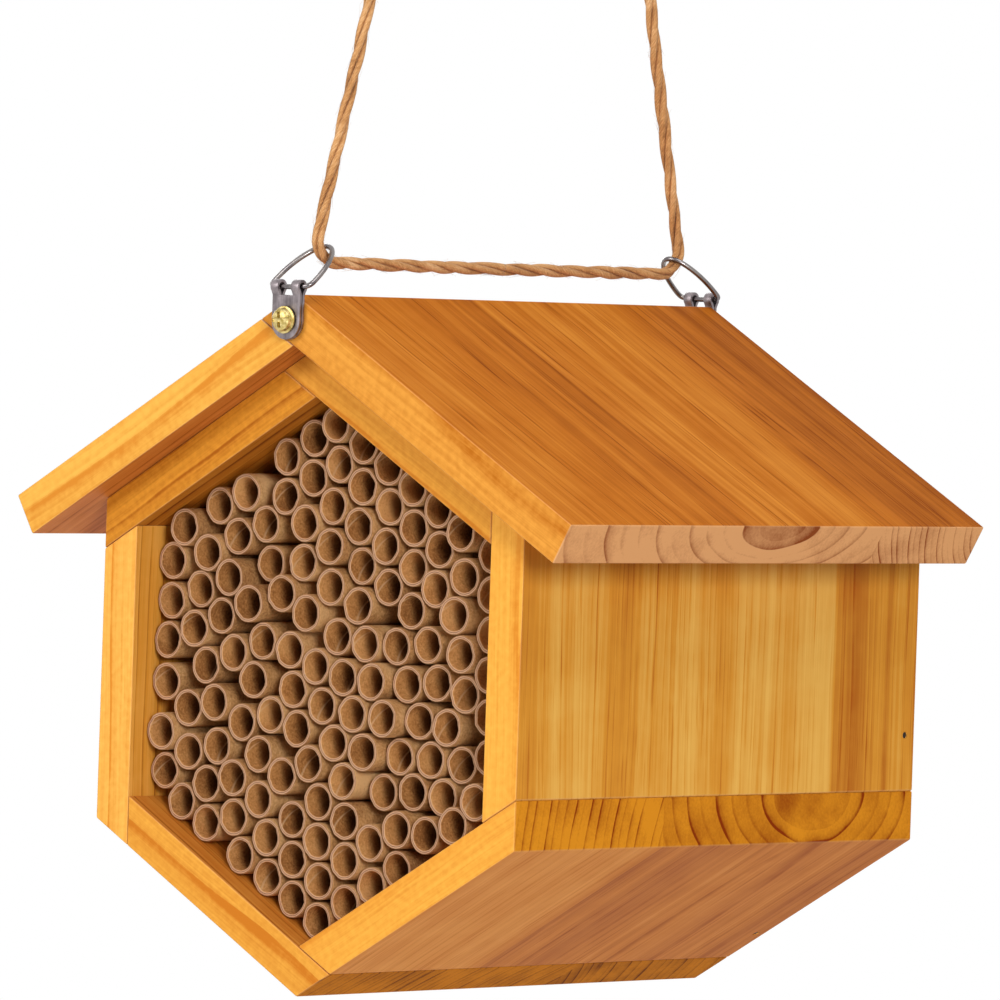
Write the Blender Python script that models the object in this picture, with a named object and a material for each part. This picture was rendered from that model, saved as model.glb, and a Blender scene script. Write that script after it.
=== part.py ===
# Mason bee house: a six-sided wooden house full of cardboard nesting tubes,
# hung from a jute rope through two steel hanger rings.
# Metres, +Z up, the open front faces -Y. The origin is the top of the rope
# loop, where the peg or hook that holds the house carries it.

import bmesh
import bpy
from math import atan2, ceil, cos, pi, radians, sin, sqrt
from mathutils import Matrix, Vector

for leftover in list(bpy.data.objects):
    bpy.data.objects.remove(leftover, do_unlink=True)

# Driving dimensions of the wooden house
half_width = 0.0715
board_thickness = 0.0111
house_depth = 0.158
roof_length = 0.1092
roof_front_overhang = 0.0091
roof_rear_setback = 0.0028
roof_pitch = radians(30)
panel_thickness = 0.008
board_edge_round = 0.0007

# Place of the house under the top of the rope loop
house_middle_z = -0.273
house_front_y = -0.07305

# Clearance that every pair of neighbouring pieces keeps
clearance = 0.0003

# Nesting tubes, which fill the space between the walls and before the back panel
tube_card = 0.00095
tube_sides = 12
outermost_tube = 5.465
tube_rear_gap = 0.0007
recess_step = 0.0005
bead_width = 0.0018
bead_length = 0.006
bead_depth_share = 0.8

# Brad nails that pin the walls to the back panel
nail_diameter = 0.0016
nail_length = 0.0185
nail_sink = 0.0002
nail_below_middle = 0.014

# Hanger straps, their screws and their rings
strap_width = 0.0094
strap_thickness = 0.0018
strap_drop = 0.0134
strap_sheet = 0.0008
knuckle_width = 0.0025
ring_wire = 0.0015
ring_width = 0.0116
ring_reach = 0.0172
ring_corner = 0.0015
ring_bar_over_ridge = 0.0018
ring_lean = radians(37.5)
front_hanger_x = -0.001
rear_hanger_x = -0.0045
screw_drop = 0.0084
screw_head_diameter = 0.007
screw_head_height = 0.0022
screw_shank_diameter = 0.0036
screw_length = 0.015
cross_slot_length = 0.0042
cross_slot_width = 0.0009
cross_slot_depth = 0.0012

# Jute rope and its knot
rope_diameter = 0.003
rope_points_apart = 3 * rope_diameter
knot_diameter = 0.0086
knot_length = 0.0134
knot_middle = Vector((-0.0003, -0.0512, -0.0809))

# Route of the rope's middle line, from the knot up round the top of the loop,
# down to the rear ring, forward to the front ring and up to the knot again
rope_route = [
    (-0.0003, -0.0494, -0.0741),
    (-0.0002, -0.0457, -0.0604),
    (-0.0001, -0.0408, -0.0420),
    (0.0000, -0.0380, -0.0316),
    (0.0000, -0.0360, -0.0241),
    (0.0000, -0.0300, -0.0131),
    (0.0000, -0.0167, -0.0022),
    (0.0000, 0.0000, 0.0015),
    (-0.0001, 0.0167, -0.0022),
    (-0.0002, 0.0300, -0.0131),
    (-0.0003, 0.0360, -0.0241),
    (-0.0004, 0.0380, -0.0316),
    (-0.0007, 0.0408, -0.0420),
    (-0.0018, 0.0512, -0.0809),
    (-0.0032, 0.0621, -0.1216),
    (-0.0042, 0.0703, -0.1521),
    (-0.0045, 0.0728, -0.1614),
    (-0.0045, 0.0729, -0.1641),
    (-0.0045, 0.0717, -0.1666),
    (-0.0045, 0.0696, -0.1683),
    (-0.0044, 0.0669, -0.1689),
    (-0.0039, 0.0500, -0.1691),
    (-0.0027, 0.0000, -0.1693),
    (-0.0015, -0.0500, -0.1691),
    (-0.0011, -0.0669, -0.1689),
    (-0.0010, -0.0696, -0.1683),
    (-0.0010, -0.0717, -0.1666),
    (-0.0010, -0.0729, -0.1641),
    (-0.0010, -0.0728, -0.1614),
    (-0.0009, -0.0703, -0.1521),
    (-0.0006, -0.0621, -0.1216),
    (-0.0004, -0.0530, -0.0877),
]

# Bundles of tubes glued together. Each tube has its middle's place across and up
# from the house's middle, in tube pitches, and how far its front end is pushed in
# behind the front of the walls, in recess steps.
tube_bundles = [
    [(-4.692, -1.152, 15), (-5.465, -0.515, 15), (-5.465, 0.549, 15), (-5.465, 1.550, 17)],
    [(-4.801, -3.538, 15), (-5.465, -2.789, 16), (-5.465, -1.788, 12), (-4.580, -2.255, 14)],
    [(-4.522, 1.885, 18), (-4.181, 2.826, 15), (-4.972, 3.440, 14), (-5.465, 2.568, 17)],
    [(-4.123, -0.034, 15), (-4.522, 0.884, 14), (-3.590, 1.250, 14), (-3.378, 2.229, 14)],
    [(-3.934, -4.039, 15), (-3.934, -3.038, 14), (-2.954, -2.834, 12), (-3.597, -2.066, 14)],
    [(-3.289, 3.280, 18), (-2.350, 3.625, 18), (-3.954, 4.027, 18), (-3.021, 4.398, 17)],
    [(-2.431, -0.319, 14), (-2.247, 0.665, 16), (-2.597, 1.603, 12), (-3.191, 0.332, 15)],
    [(-1.317, -2.695, 13), (-2.184, -2.195, 14), (-2.826, -1.427, 15), (-3.710, -0.958, 13)],
    [(-1.774, -4.285, 13), (-0.914, -3.773, 13), (-2.088, -3.334, 13), (-2.954, -3.835, 14)],
    [(-0.719, 1.443, 14), (-1.609, 1.901, 15), (-2.300, 2.625, 22), (-0.994, 2.712, 17)],
    [(-0.041, -6.287, 15), (-0.907, -5.787, 15), (-1.774, -5.286, 15), (-2.641, -4.786, 13)],
    [(-0.901, -1.479, 14), (-1.120, -0.502, 15), (-1.856, -1.180, 15), (-1.262, 0.489, 15)],
    [(-0.893, 3.708, 15), (-1.660, 4.351, 17), (-0.793, 4.851, 18), (-0.005, 4.169, 16)],
    [(0.132, 5.233, 17), (0.132, 6.234, 13), (-0.793, 5.852, 18), (-1.660, 5.352, 17)],
    [(-0.383, -2.335, 12), (0.443, -1.770, 12), (-0.022, -0.861, 13), (-0.333, 0.117, 14)],
    [(-0.037, -5.279, 15), (-0.907, -4.786, 14), (-0.044, -4.278, 13), (0.858, -4.711, 14)],
    [(0.004, 2.135, 16), (0.020, 3.157, 14), (0.912, 2.703, 19)],
    [(0.858, -3.710, 13), (-0.045, -3.277, 13), (0.781, -2.712, 12), (1.428, -1.948, 12)],
    [(1.641, -0.171, 12), (1.283, 0.764, 15), (0.642, -0.110, 13), (0.291, 0.899, 16)],
    [(0.907, 1.702, 17), (1.783, 2.208, 20), (1.767, 3.236, 17), (0.881, 3.703, 16)],
    [(1.865, 4.232, 17), (1.865, 5.233, 15), (0.999, 5.734, 15), (0.980, 4.699, 16)],
    [(0.826, -5.787, 16), (1.699, -5.297, 16), (2.580, -4.821, 15), (1.725, -4.210, 13)],
    [(3.089, -1.082, 17), (2.089, -1.066, 11), (1.089, -1.006, 11), (2.642, -0.187, 17)],
    [(1.874, -2.929, 19), (2.943, -2.866, 17), (2.427, -2.008, 18), (3.495, -2.031, 17)],
    [(2.633, 2.736, 19), (2.732, 3.732, 16), (2.732, 4.733, 14), (3.599, 4.232, 14)],
    [(2.284, 0.748, 16), (2.695, 1.660, 17), (3.510, 2.243, 16), (3.654, 3.233, 15)],
    [(4.084, -1.191, 15), (4.612, -0.340, 16), (3.640, -0.103, 17), (3.281, 0.832, 17)],
    [(3.646, -3.896, 11), (2.648, -3.822, 12), (4.692, -3.602, 8), (5.465, -2.966, 6)],
    [(3.941, -2.940, 17), (4.493, -2.105, 18), (5.465, -1.865, 16), (5.465, -0.864, 15)],
    [(5.465, 0.183, 14), (5.438, 1.184, 15), (4.585, 0.660, 12), (4.291, 1.617, 13)],
    [(5.465, 2.185, 14), (5.415, 3.184, 15), (4.548, 3.685, 10), (4.547, 2.585, 14)],
]

# Values worked out from the driving dimensions
roof_base = half_width + clearance
roof_top = roof_base + board_thickness
inner_half_width = half_width - board_thickness
ridge_z = roof_top / cos(roof_pitch)
roof_front_y = house_front_y - roof_front_overhang
roof_rear_y = house_front_y + house_depth - roof_rear_setback
house_rear_y = house_front_y + house_depth
tube_pitch = (inner_half_width - clearance / 2) / (outermost_tube + 0.5)
tube_diameter = tube_pitch - clearance
tube_bore = tube_diameter - 2 * tube_card
deepest_recess = recess_step * max(steps for bundle in tube_bundles for _, _, steps in bundle)
tube_length = house_depth - panel_thickness - deepest_recess - tube_rear_gap
ring_bar_z = house_middle_z + ridge_z + ring_bar_over_ridge
knuckle_inner = ring_wire / 2 + clearance
knuckle_outer = knuckle_inner + strap_sheet


def makeMaterial(name, colour, roughness, metallic=0.0):
    """A Principled material in one plain colour."""
    material = bpy.data.materials.new(name)
    material.use_nodes = True
    shader = material.node_tree.nodes["Principled BSDF"]
    shader.inputs["Base Color"].default_value = (*colour, 1.0)
    shader.inputs["Roughness"].default_value = roughness
    shader.inputs["Metallic"].default_value = metallic
    material.diffuse_color = (*colour, 1.0)
    return material


def makeObject(name, shape, material, smooth_angle=None):
    """Turn a bmesh into a named object with its material."""
    bmesh.ops.recalc_face_normals(shape, faces=shape.faces)
    mesh = bpy.data.meshes.new(name)
    shape.to_mesh(mesh)
    shape.free()
    mesh.materials.append(material)
    if smooth_angle is not None:
        mesh.shade_smooth()
        mesh.set_sharp_from_angle(angle=smooth_angle)
    thing = bpy.data.objects.new(name, mesh)
    bpy.context.scene.collection.objects.link(thing)
    return thing


def makeCutter(name, shape):
    """A hidden solid that only a Boolean modifier uses."""
    cutter = makeObject(name, shape, cutter_material)
    cutter.hide_render = True
    cutter.display_type = "WIRE"
    return cutter


def addBoolean(thing, cutter, operation):
    boolean = thing.modifiers.new(cutter.name, "BOOLEAN")
    boolean.operation = operation
    boolean.solver = "EXACT"
    boolean.object = cutter


def addEdgeRound(thing, width):
    rounding = thing.modifiers.new("rounded_edges", "BEVEL")
    rounding.width = width
    rounding.segments = 1
    rounding.limit_method = "ANGLE"
    rounding.angle_limit = radians(40)


def extrudeOutline(outline, start, length):
    """Closed prism: an outline of Vector corners pushed along a length vector."""
    shape = bmesh.new()
    corners = [shape.verts.new(corner + start) for corner in outline]
    face = shape.faces.new(corners)
    grown = bmesh.ops.extrude_face_region(shape, geom=[face])
    moved = [item for item in grown["geom"] if isinstance(item, bmesh.types.BMVert)]
    bmesh.ops.translate(shape, verts=moved, vec=length)
    return shape


def addCylinder(shape, middle, axis, radius, length, sides):
    """Closed cylinder along an axis, centred on its middle."""
    frame = axis.to_track_quat("Z", "Y").to_matrix().to_4x4()
    place = Matrix.Translation(middle) @ frame
    bmesh.ops.create_cone(
        shape, cap_ends=True, segments=sides, radius1=radius, radius2=radius,
        depth=length, matrix=place)


def addBlock(shape, middle, size):
    place = Matrix.Translation(middle) @ Matrix.Diagonal((*size, 1.0))
    bmesh.ops.create_cube(shape, size=1.0, matrix=place)


def spunProfile(profile, place, sides):
    """Solid of revolution about Z from (radius, height) points, both ends on the axis."""
    shape = bmesh.new()
    corners = [shape.verts.new((radius, 0.0, height)) for radius, height in profile]
    edges = [shape.edges.new(pair) for pair in zip(corners, corners[1:])]
    bmesh.ops.spin(
        shape, geom=corners + edges, cent=(0, 0, 0), axis=(0, 0, 1),
        angle=2 * pi, steps=sides, use_merge=True)
    bmesh.ops.remove_doubles(shape, verts=shape.verts, dist=1e-6)
    bmesh.ops.transform(shape, matrix=place, verts=shape.verts)
    return shape


def wallNormal(turn):
    """Direction across the house that a wall's outer face looks in."""
    return Vector((cos(turn), 0.0, sin(turn)))


def meetingPoint(normal_a, reach_a, normal_b, reach_b):
    """Point in the XZ plane at given reaches along two directions."""
    spread = normal_a.x * normal_b.z - normal_a.z * normal_b.x
    x = (reach_a * normal_b.z - reach_b * normal_a.z) / spread
    z = (normal_a.x * reach_b - normal_b.x * reach_a) / spread
    return Vector((x, 0.0, z))


# House walls
# Each board's far end runs through to the outer face of the next board, and its
# near end butts against the inner face of the board before it.

wall_turns = {
    "right_wall": 0,
    "upper_right_wall": 60,
    "upper_left_wall": 120,
    "left_wall": 180,
    "lower_left_wall": 240,
    "lower_right_wall": 300,
}


def wallOutline(turn):
    own = wallNormal(turn)
    following = wallNormal(turn + radians(60))
    before = wallNormal(turn - radians(60))
    butt_reach = inner_half_width - clearance
    return [
        meetingPoint(own, half_width, before, butt_reach),
        meetingPoint(own, half_width, following, half_width),
        meetingPoint(own, inner_half_width, following, half_width),
        meetingPoint(own, inner_half_width, before, butt_reach),
    ]


def nailPlace(turn):
    """Outer end of a wall's nail, in line with the panel's middle depth."""
    outward = wallNormal(turn)
    along = Vector((0, 1, 0)).cross(outward)
    middle = Vector((0, house_rear_y - panel_thickness / 2, house_middle_z))
    return middle + outward * (half_width - nail_sink) + along * nail_below_middle


def nailShape(turn, radius, length, sides):
    shape = bmesh.new()
    outward = wallNormal(turn)
    middle = nailPlace(turn) - outward * length / 2
    addCylinder(shape, middle, outward, radius, length, sides)
    return shape


def nailHole(name, turn):
    """Hole for a nail, open at the outer face and a clearance deeper than the nail."""
    shape = bmesh.new()
    outward = wallNormal(turn)
    hole_length = nail_length + 2 * clearance + nail_sink
    middle = nailPlace(turn) + outward * (clearance + nail_sink - hole_length / 2)
    addCylinder(shape, middle, outward, nail_diameter / 2 + clearance, hole_length, 8)
    return makeCutter(name, shape)


def makeWalls():
    middle = Vector((0, house_front_y, house_middle_z))
    panel_reach = inner_half_width - clearance
    panel_corners = []
    for degrees in wall_turns.values():
        own = wallNormal(radians(degrees))
        following = wallNormal(radians(degrees + 60))
        panel_corners.append(meetingPoint(own, panel_reach, following, panel_reach))
    panel_start = Vector((0, house_rear_y - panel_thickness, house_middle_z))
    shape = extrudeOutline(panel_corners, panel_start, Vector((0, panel_thickness, 0)))
    panel = makeObject("back_panel", shape, panel_material)

    for name, degrees in wall_turns.items():
        turn = radians(degrees)
        shape = extrudeOutline(wallOutline(turn), middle, Vector((0, house_depth, 0)))
        wall = makeObject(name, shape, wood_material)
        addEdgeRound(wall, board_edge_round)
        hole = nailHole("cut_nail_" + name, turn)
        addBoolean(wall, hole, "DIFFERENCE")
        addBoolean(panel, hole, "DIFFERENCE")
        nail = nailShape(turn, nail_diameter / 2, nail_length, 8)
        makeObject("nail_" + name, nail, steel_material, radians(40))


# Roof boards
# The right board runs through to the ridge and the left one butts under it.

def roofOutline(side, upper_normal, upper_reach):
    own = Vector((side * sin(roof_pitch), 0, cos(roof_pitch)))
    down = Vector((side * cos(roof_pitch), 0, -sin(roof_pitch)))
    eave_reach = roof_length - ridge_z * sin(roof_pitch)
    return [
        meetingPoint(own, roof_base, upper_normal, upper_reach),
        meetingPoint(own, roof_base, down, eave_reach),
        meetingPoint(own, roof_top, down, eave_reach),
        meetingPoint(own, roof_top, upper_normal, upper_reach),
    ]


def makeRoof():
    right_normal = Vector((sin(roof_pitch), 0, cos(roof_pitch)))
    left_normal = Vector((-sin(roof_pitch), 0, cos(roof_pitch)))
    start = Vector((0, roof_front_y, house_middle_z))
    length = Vector((0, roof_rear_y - roof_front_y, 0))
    outlines = {
        "right_roof_board": roofOutline(1, left_normal, roof_top),
        "left_roof_board": roofOutline(-1, right_normal, roof_base - clearance),
    }
    boards = []
    for name, outline in outlines.items():
        board = makeObject(name, extrudeOutline(outline, start, length), roof_material)
        addEdgeRound(board, board_edge_round)
        boards.append(board)
    return boards


# Nesting tubes
# The tubes lie as loosely as they were pushed in. Each bundle of three or four
# neighbours is held together by small beads of glue at mid length.

def tubeMiddle(tube):
    """Middle of a tube's front end."""
    across, up, steps = tube
    y = house_front_y + steps * recess_step
    return Vector((across * tube_pitch, y, house_middle_z + up * tube_pitch))


def addTube(shape, middle, radius, bore_radius):
    """Open tube along Y: its corners lie on the radius, the bore's flats on the bore."""
    half_side = pi / tube_sides
    loops = []
    for y in (0.0, tube_length):
        for corner_reach in (radius, bore_radius / cos(half_side)):
            loop = []
            for side in range(tube_sides):
                turn = 2 * pi * side / tube_sides
                offset = Vector((corner_reach * cos(turn), y, corner_reach * sin(turn)))
                loop.append(shape.verts.new(middle + offset))
            loops.append(loop)
    front_outer, front_inner, rear_outer, rear_inner = loops
    for side in range(tube_sides):
        after = (side + 1) % tube_sides
        for first, second in (
                (front_outer, rear_outer), (rear_outer, rear_inner),
                (rear_inner, front_inner), (front_inner, front_outer)):
            shape.faces.new((first[side], first[after], second[after], second[side]))


def addBead(shape, first, second):
    """Glue bead between two tubes, from inside one card wall to inside the other."""
    along = second - first
    along.y = 0.0
    gap = along.length - tube_diameter
    size = (gap + 2 * tube_card * bead_depth_share, bead_length, bead_width)
    middle = (first + second) / 2
    middle.y = house_front_y + house_depth / 2
    turned = Matrix.Rotation(atan2(-along.z, along.x), 4, "Y")
    place = Matrix.Translation(middle) @ turned @ Matrix.Diagonal((*size, 1.0))
    bmesh.ops.create_cube(shape, size=1.0, matrix=place)


def makeTubes():
    for number, bundle in enumerate(tube_bundles, 1):
        tubes = bmesh.new()
        beads = bmesh.new()
        placed = []
        for tube in bundle:
            middle = tubeMiddle(tube)
            addTube(tubes, middle, tube_diameter / 2, tube_bore / 2)
            if placed:
                nearest = min(placed, key=lambda other: (other - middle).xz.length)
                addBead(beads, nearest, middle)
            placed.append(middle)
        name = f"tube_bundle_{number:02d}"
        bundled = makeObject(name, tubes, card_material, radians(40))
        addBoolean(bundled, makeCutter("glue_" + name, beads), "UNION")


# Hangers
# Each hanger is a strap folded over the bar of a ring and screwed to the end
# grain at the ridge. Facing is -1 at the front of the house and 1 at the rear.

def hangerFace(facing):
    """Y of the strap's middle plane."""
    roof_end_y = roof_front_y if facing < 0 else roof_rear_y
    return roof_end_y + facing * (clearance + strap_thickness / 2)


def strapPlate(x, y):
    """Flat plate with a round lower end, from the fold down to its tip."""
    radius = strap_width / 2
    round_z = ring_bar_z - strap_drop + radius
    top_z = ring_bar_z - knuckle_inner - strap_sheet / 2
    outline = [Vector((radius, 0, top_z)), Vector((-radius, 0, top_z))]
    for step in range(13):
        turn = pi + pi * step / 12
        outline.append(Vector((radius * cos(turn), 0, round_z + radius * sin(turn))))
    start = Vector((x, y - strap_thickness / 2, 0))
    return extrudeOutline(outline, start, Vector((0, strap_thickness, 0)))


def strapFold(x, y):
    """Sheet curled round the bar: a tube over the whole width, before its window."""
    shape = bmesh.new()
    middle = Vector((x, y, ring_bar_z))
    addCylinder(shape, middle, Vector((1, 0, 0)), knuckle_outer, strap_width, 16)
    return shape


def makeStrap(name, facing, x):
    y = hangerFace(facing)
    strap = makeObject(name, strapPlate(x, y), steel_material, radians(40))
    fold = makeCutter("fold_" + name, strapFold(x, y))
    addBoolean(strap, fold, "UNION")

    bar_hole = bmesh.new()
    middle = Vector((x, y, ring_bar_z))
    addCylinder(bar_hole, middle, Vector((1, 0, 0)), knuckle_inner, 2 * strap_width, 16)
    addBoolean(strap, makeCutter("bar_hole_" + name, bar_hole), "DIFFERENCE")

    window = bmesh.new()
    window_width = strap_width - 2 * knuckle_width
    window_size = (window_width, 3 * knuckle_outer, 2 * knuckle_outer + clearance)
    addBlock(window, middle, window_size)
    addBoolean(strap, makeCutter("window_" + name, window), "DIFFERENCE")

    screw_hole = bmesh.new()
    hole_middle = Vector((x, y, ring_bar_z - screw_drop))
    hole_radius = screw_shank_diameter / 2 + clearance
    addCylinder(screw_hole, hole_middle, Vector((0, 1, 0)), hole_radius, 3 * strap_thickness, 12)
    addBoolean(strap, makeCutter("screw_hole_" + name, screw_hole), "DIFFERENCE")


def makeScrew(name, facing, x, boards):
    """Pan head screw with a cross slot, its head a clearance off the strap."""
    head_radius = screw_head_diameter / 2
    shank_radius = screw_shank_diameter / 2
    dome_start = screw_head_height * 0.45
    profile = [(0.0, -screw_length), (shank_radius * 0.5, -screw_length + shank_radius)]
    profile += [(shank_radius, -screw_length + 2.5 * shank_radius), (shank_radius, 0.0)]
    profile += [(head_radius * 0.96, 0.0), (head_radius, screw_head_height * 0.12)]
    for step in range(1, 5):
        turn = radians(90) * step / 5
        radius = head_radius * cos(turn)
        height = dome_start + (screw_head_height - dome_start) * sin(turn)
        profile.append((radius, height))
    profile.append((0.0, screw_head_height))

    out = Vector((0, facing, 0))
    seat_y = hangerFace(facing) + facing * (strap_thickness / 2 + clearance)
    seat = Vector((x, seat_y, ring_bar_z - screw_drop))
    place = Matrix.Translation(seat) @ out.to_track_quat("Z", "Y").to_matrix().to_4x4()
    shape = spunProfile(profile, place, 16)
    screw = makeObject(name, shape, brass_material, radians(40))

    slots = bmesh.new()
    slot_middle = seat + out * screw_head_height
    slot_size = Vector((cross_slot_length, 2 * cross_slot_depth, cross_slot_width))
    addBlock(slots, slot_middle, slot_size)
    addBoolean(screw, makeCutter("slot_across_" + name, slots), "DIFFERENCE")
    slots = bmesh.new()
    addBlock(slots, slot_middle, slot_size.zyx)
    addBoolean(screw, makeCutter("slot_upright_" + name, slots), "DIFFERENCE")

    pilot = bmesh.new()
    pilot_length = screw_length + 2 * clearance
    pilot_middle = seat - out * pilot_length / 2
    addCylinder(pilot, pilot_middle, out, shank_radius + clearance, pilot_length, 12)
    pilot_cutter = makeCutter("pilot_" + name, pilot)
    for board in boards:
        addBoolean(board, pilot_cutter, "DIFFERENCE")


def ringOutline():
    """Middle line of the ring's wire, flat, with its bar along X through the origin."""
    half = ring_width / 2
    points = []
    corners = [(-1, pi, 1.5 * pi), (1, 1.5 * pi, 2 * pi)]
    for side, start, stop in corners:
        for step in range(4):
            turn = start + (stop - start) * step / 3
            x = side * (half - ring_corner) + ring_corner * cos(turn)
            points.append(Vector((x, ring_corner + ring_corner * sin(turn), 0)))
    for step in range(13):
        turn = pi * step / 12
        points.append(Vector((half * cos(turn), ring_reach - half + half * sin(turn), 0)))
    return points


def makeRing(name, facing, x):
    """Ring of round wire that leans inward from its bar, turned about the bar."""
    curve = bpy.data.curves.new(name, "CURVE")
    curve.dimensions = "3D"
    curve.bevel_depth = ring_wire / 2
    curve.bevel_resolution = 2
    outline = ringOutline()
    wire = curve.splines.new("POLY")
    wire.points.add(len(outline) - 1)
    for point, place in zip(wire.points, outline):
        point.co = (*place, 1.0)
    wire.use_cyclic_u = True
    curve.materials.append(steel_material)
    ring = bpy.data.objects.new(name, curve)
    bpy.context.scene.collection.objects.link(ring)
    ring.location = (x, hangerFace(facing), ring_bar_z)
    ring.rotation_euler = (ring_lean if facing < 0 else pi - ring_lean, 0, 0)
    return ring


# Rope

def smoothPoints(route, spacing):
    """Points along a smooth curve through the route, no farther apart than spacing."""
    route = [Vector(place) for place in route]
    ends = [2 * route[0] - route[1]] + route + [2 * route[-1] - route[-2]]
    points = [route[0]]
    for before, start, stop, after in zip(ends, ends[1:], ends[2:], ends[3:]):
        count = ceil((stop - start).length / spacing)
        knots = [0.0]
        for first, second in ((before, start), (start, stop), (stop, after)):
            knots.append(knots[-1] + sqrt((second - first).length))
        for step in range(1, count + 1):
            t = knots[1] + (knots[2] - knots[1]) * step / count
            points.append(curvePoint((before, start, stop, after), knots, t))
    return points


def curvePoint(corners, knots, t):
    """One point of a centripetal Catmull-Rom curve between its middle corners."""
    def between(first, second, low, high):
        return first.lerp(second, (t - knots[low]) / (knots[high] - knots[low]))

    near = between(corners[0], corners[1], 0, 1)
    middle = between(corners[1], corners[2], 1, 2)
    far = between(corners[2], corners[3], 2, 3)
    early = between(near, middle, 0, 2)
    late = between(middle, far, 1, 3)
    return between(early, late, 1, 2)


def makeRope():
    curve = bpy.data.curves.new("rope", "CURVE")
    curve.dimensions = "3D"
    curve.bevel_depth = rope_diameter / 2
    curve.bevel_resolution = 2
    curve.use_fill_caps = True
    places = smoothPoints(rope_route, rope_points_apart)
    strand = curve.splines.new("POLY")
    strand.points.add(len(places) - 1)
    for point, place in zip(strand.points, places):
        point.co = (*place, 1.0)
    curve.materials.append(jute_material)
    rope = bpy.data.objects.new("rope", curve)
    bpy.context.scene.collection.objects.link(rope)
    return rope


def makeKnot():
    """Plain closed solid of the knot, flat where the rope's ends meet it."""
    half = knot_length / 2
    end_radius = rope_diameter / 2
    profile = [(0.0, -half), (end_radius, -half)]
    for step in range(1, 6):
        turn = pi * step / 6
        swell = (knot_diameter / 2 - end_radius) * sin(turn)
        profile.append((end_radius + swell, -half * cos(turn)))
    profile += [(end_radius, half), (0.0, half)]
    along = Vector(rope_route[0]) - Vector(rope_route[-1])
    turned = along.to_track_quat("Z", "Y").to_matrix().to_4x4()
    shape = spunProfile(profile, Matrix.Translation(knot_middle) @ turned, 12)
    return makeObject("rope_knot", shape, jute_material, radians(40))


# Build

wood_material = makeMaterial("oiled_fir_walls", (0.76, 0.44, 0.13), 0.5)
roof_material = makeMaterial("oiled_fir_roof", (0.60, 0.27, 0.06), 0.5)
panel_material = makeMaterial("plain_fir_panel", (0.62, 0.38, 0.16), 0.6)
card_material = makeMaterial("brown_card", (0.40, 0.22, 0.10), 0.85)
steel_material = makeMaterial("zinc_plated_steel", (0.35, 0.33, 0.33), 0.35, 1.0)
brass_material = makeMaterial("brass_plated_steel", (0.68, 0.52, 0.14), 0.3, 1.0)
jute_material = makeMaterial("jute", (0.48, 0.28, 0.11), 0.9)
cutter_material = makeMaterial("cutter", (1.0, 0.0, 0.0), 0.5)

makeWalls()
roof_boards = makeRoof()
makeTubes()
for end, facing, x in (("front", -1, front_hanger_x), ("rear", 1, rear_hanger_x)):
    makeStrap(end + "_hanger_strap", facing, x)
    makeScrew(end + "_hanger_screw", facing, x, roof_boards[:1])
    makeRing(end + "_hanger_ring", facing, x)
makeRope()
makeKnot()
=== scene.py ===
import math
import random

import bpy
from mathutils import Matrix, Vector, noise


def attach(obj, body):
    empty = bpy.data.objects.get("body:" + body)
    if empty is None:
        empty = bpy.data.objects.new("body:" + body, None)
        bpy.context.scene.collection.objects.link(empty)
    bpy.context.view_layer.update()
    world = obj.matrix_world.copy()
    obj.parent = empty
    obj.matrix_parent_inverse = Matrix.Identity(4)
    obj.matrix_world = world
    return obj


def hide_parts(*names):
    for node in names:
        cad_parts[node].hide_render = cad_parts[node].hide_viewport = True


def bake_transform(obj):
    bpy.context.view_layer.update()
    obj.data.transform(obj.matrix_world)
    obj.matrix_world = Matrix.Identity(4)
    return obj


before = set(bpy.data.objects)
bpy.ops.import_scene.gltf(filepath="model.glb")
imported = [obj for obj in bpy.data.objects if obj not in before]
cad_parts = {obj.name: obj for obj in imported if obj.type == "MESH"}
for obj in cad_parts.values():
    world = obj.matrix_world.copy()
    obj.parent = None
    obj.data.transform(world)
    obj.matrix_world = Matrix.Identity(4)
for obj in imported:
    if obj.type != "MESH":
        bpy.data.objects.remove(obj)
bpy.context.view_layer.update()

print("frame loaded:", len(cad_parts), "solids")

# Mason bee house: six oiled boards, a gable roof, loose card tubes, two hinged
# hanger rings and a jute rope. Metres, the open front looks towards -Y.
houseMiddle = Vector((0, 0, -0.273))
houseFront, houseRear = -0.07305, 0.08495
barHeight = -0.175475
hangers = {
    "front": {"x": -0.001, "y": -0.08335, "facing": -1},
    "rear": {"x": -0.0045, "y": 0.08335, "facing": 1},
}


# Small tools

# sRGB hex to the linear colour that the shaders take
def hexColour(text):
    parts = [int(text[i:i + 2], 16) / 255 for i in (0, 2, 4)]
    return tuple(c / 12.92 if c <= 0.04045 else ((c + 0.055) / 1.055) ** 2.4 for c in parts) + (1.0,)


# Adds a node. A setting is a property, a socket's value, another node's output, or a ramp's stops
def addNode(tree, kind, settings):
    node = tree.nodes.new(kind)
    for name, value in settings.items():
        if name == "stops":
            ramp = node.color_ramp
            while len(ramp.elements) < len(value):
                ramp.elements.new(0.5)
            for element, (position, shade) in zip(ramp.elements, value):
                element.position = position
                element.color = hexColour(shade) if isinstance(shade, str) else (shade, shade, shade, 1)
        elif isinstance(value, bpy.types.NodeSocket):
            tree.links.new(value, node.inputs[name])
        elif isinstance(name, str) and hasattr(node, name):
            setattr(node, name, value)
        else:
            node.inputs[name].default_value = value
    return node.outputs


# Values times their weights, on top of a first value
def weighedSum(tree, total, *terms):
    for value, weight in terms:
        total = addNode(tree, "ShaderNodeMath", {
            "operation": "MULTIPLY_ADD", 0: value, 1: weight, 2: total})[0]
    return total


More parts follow.
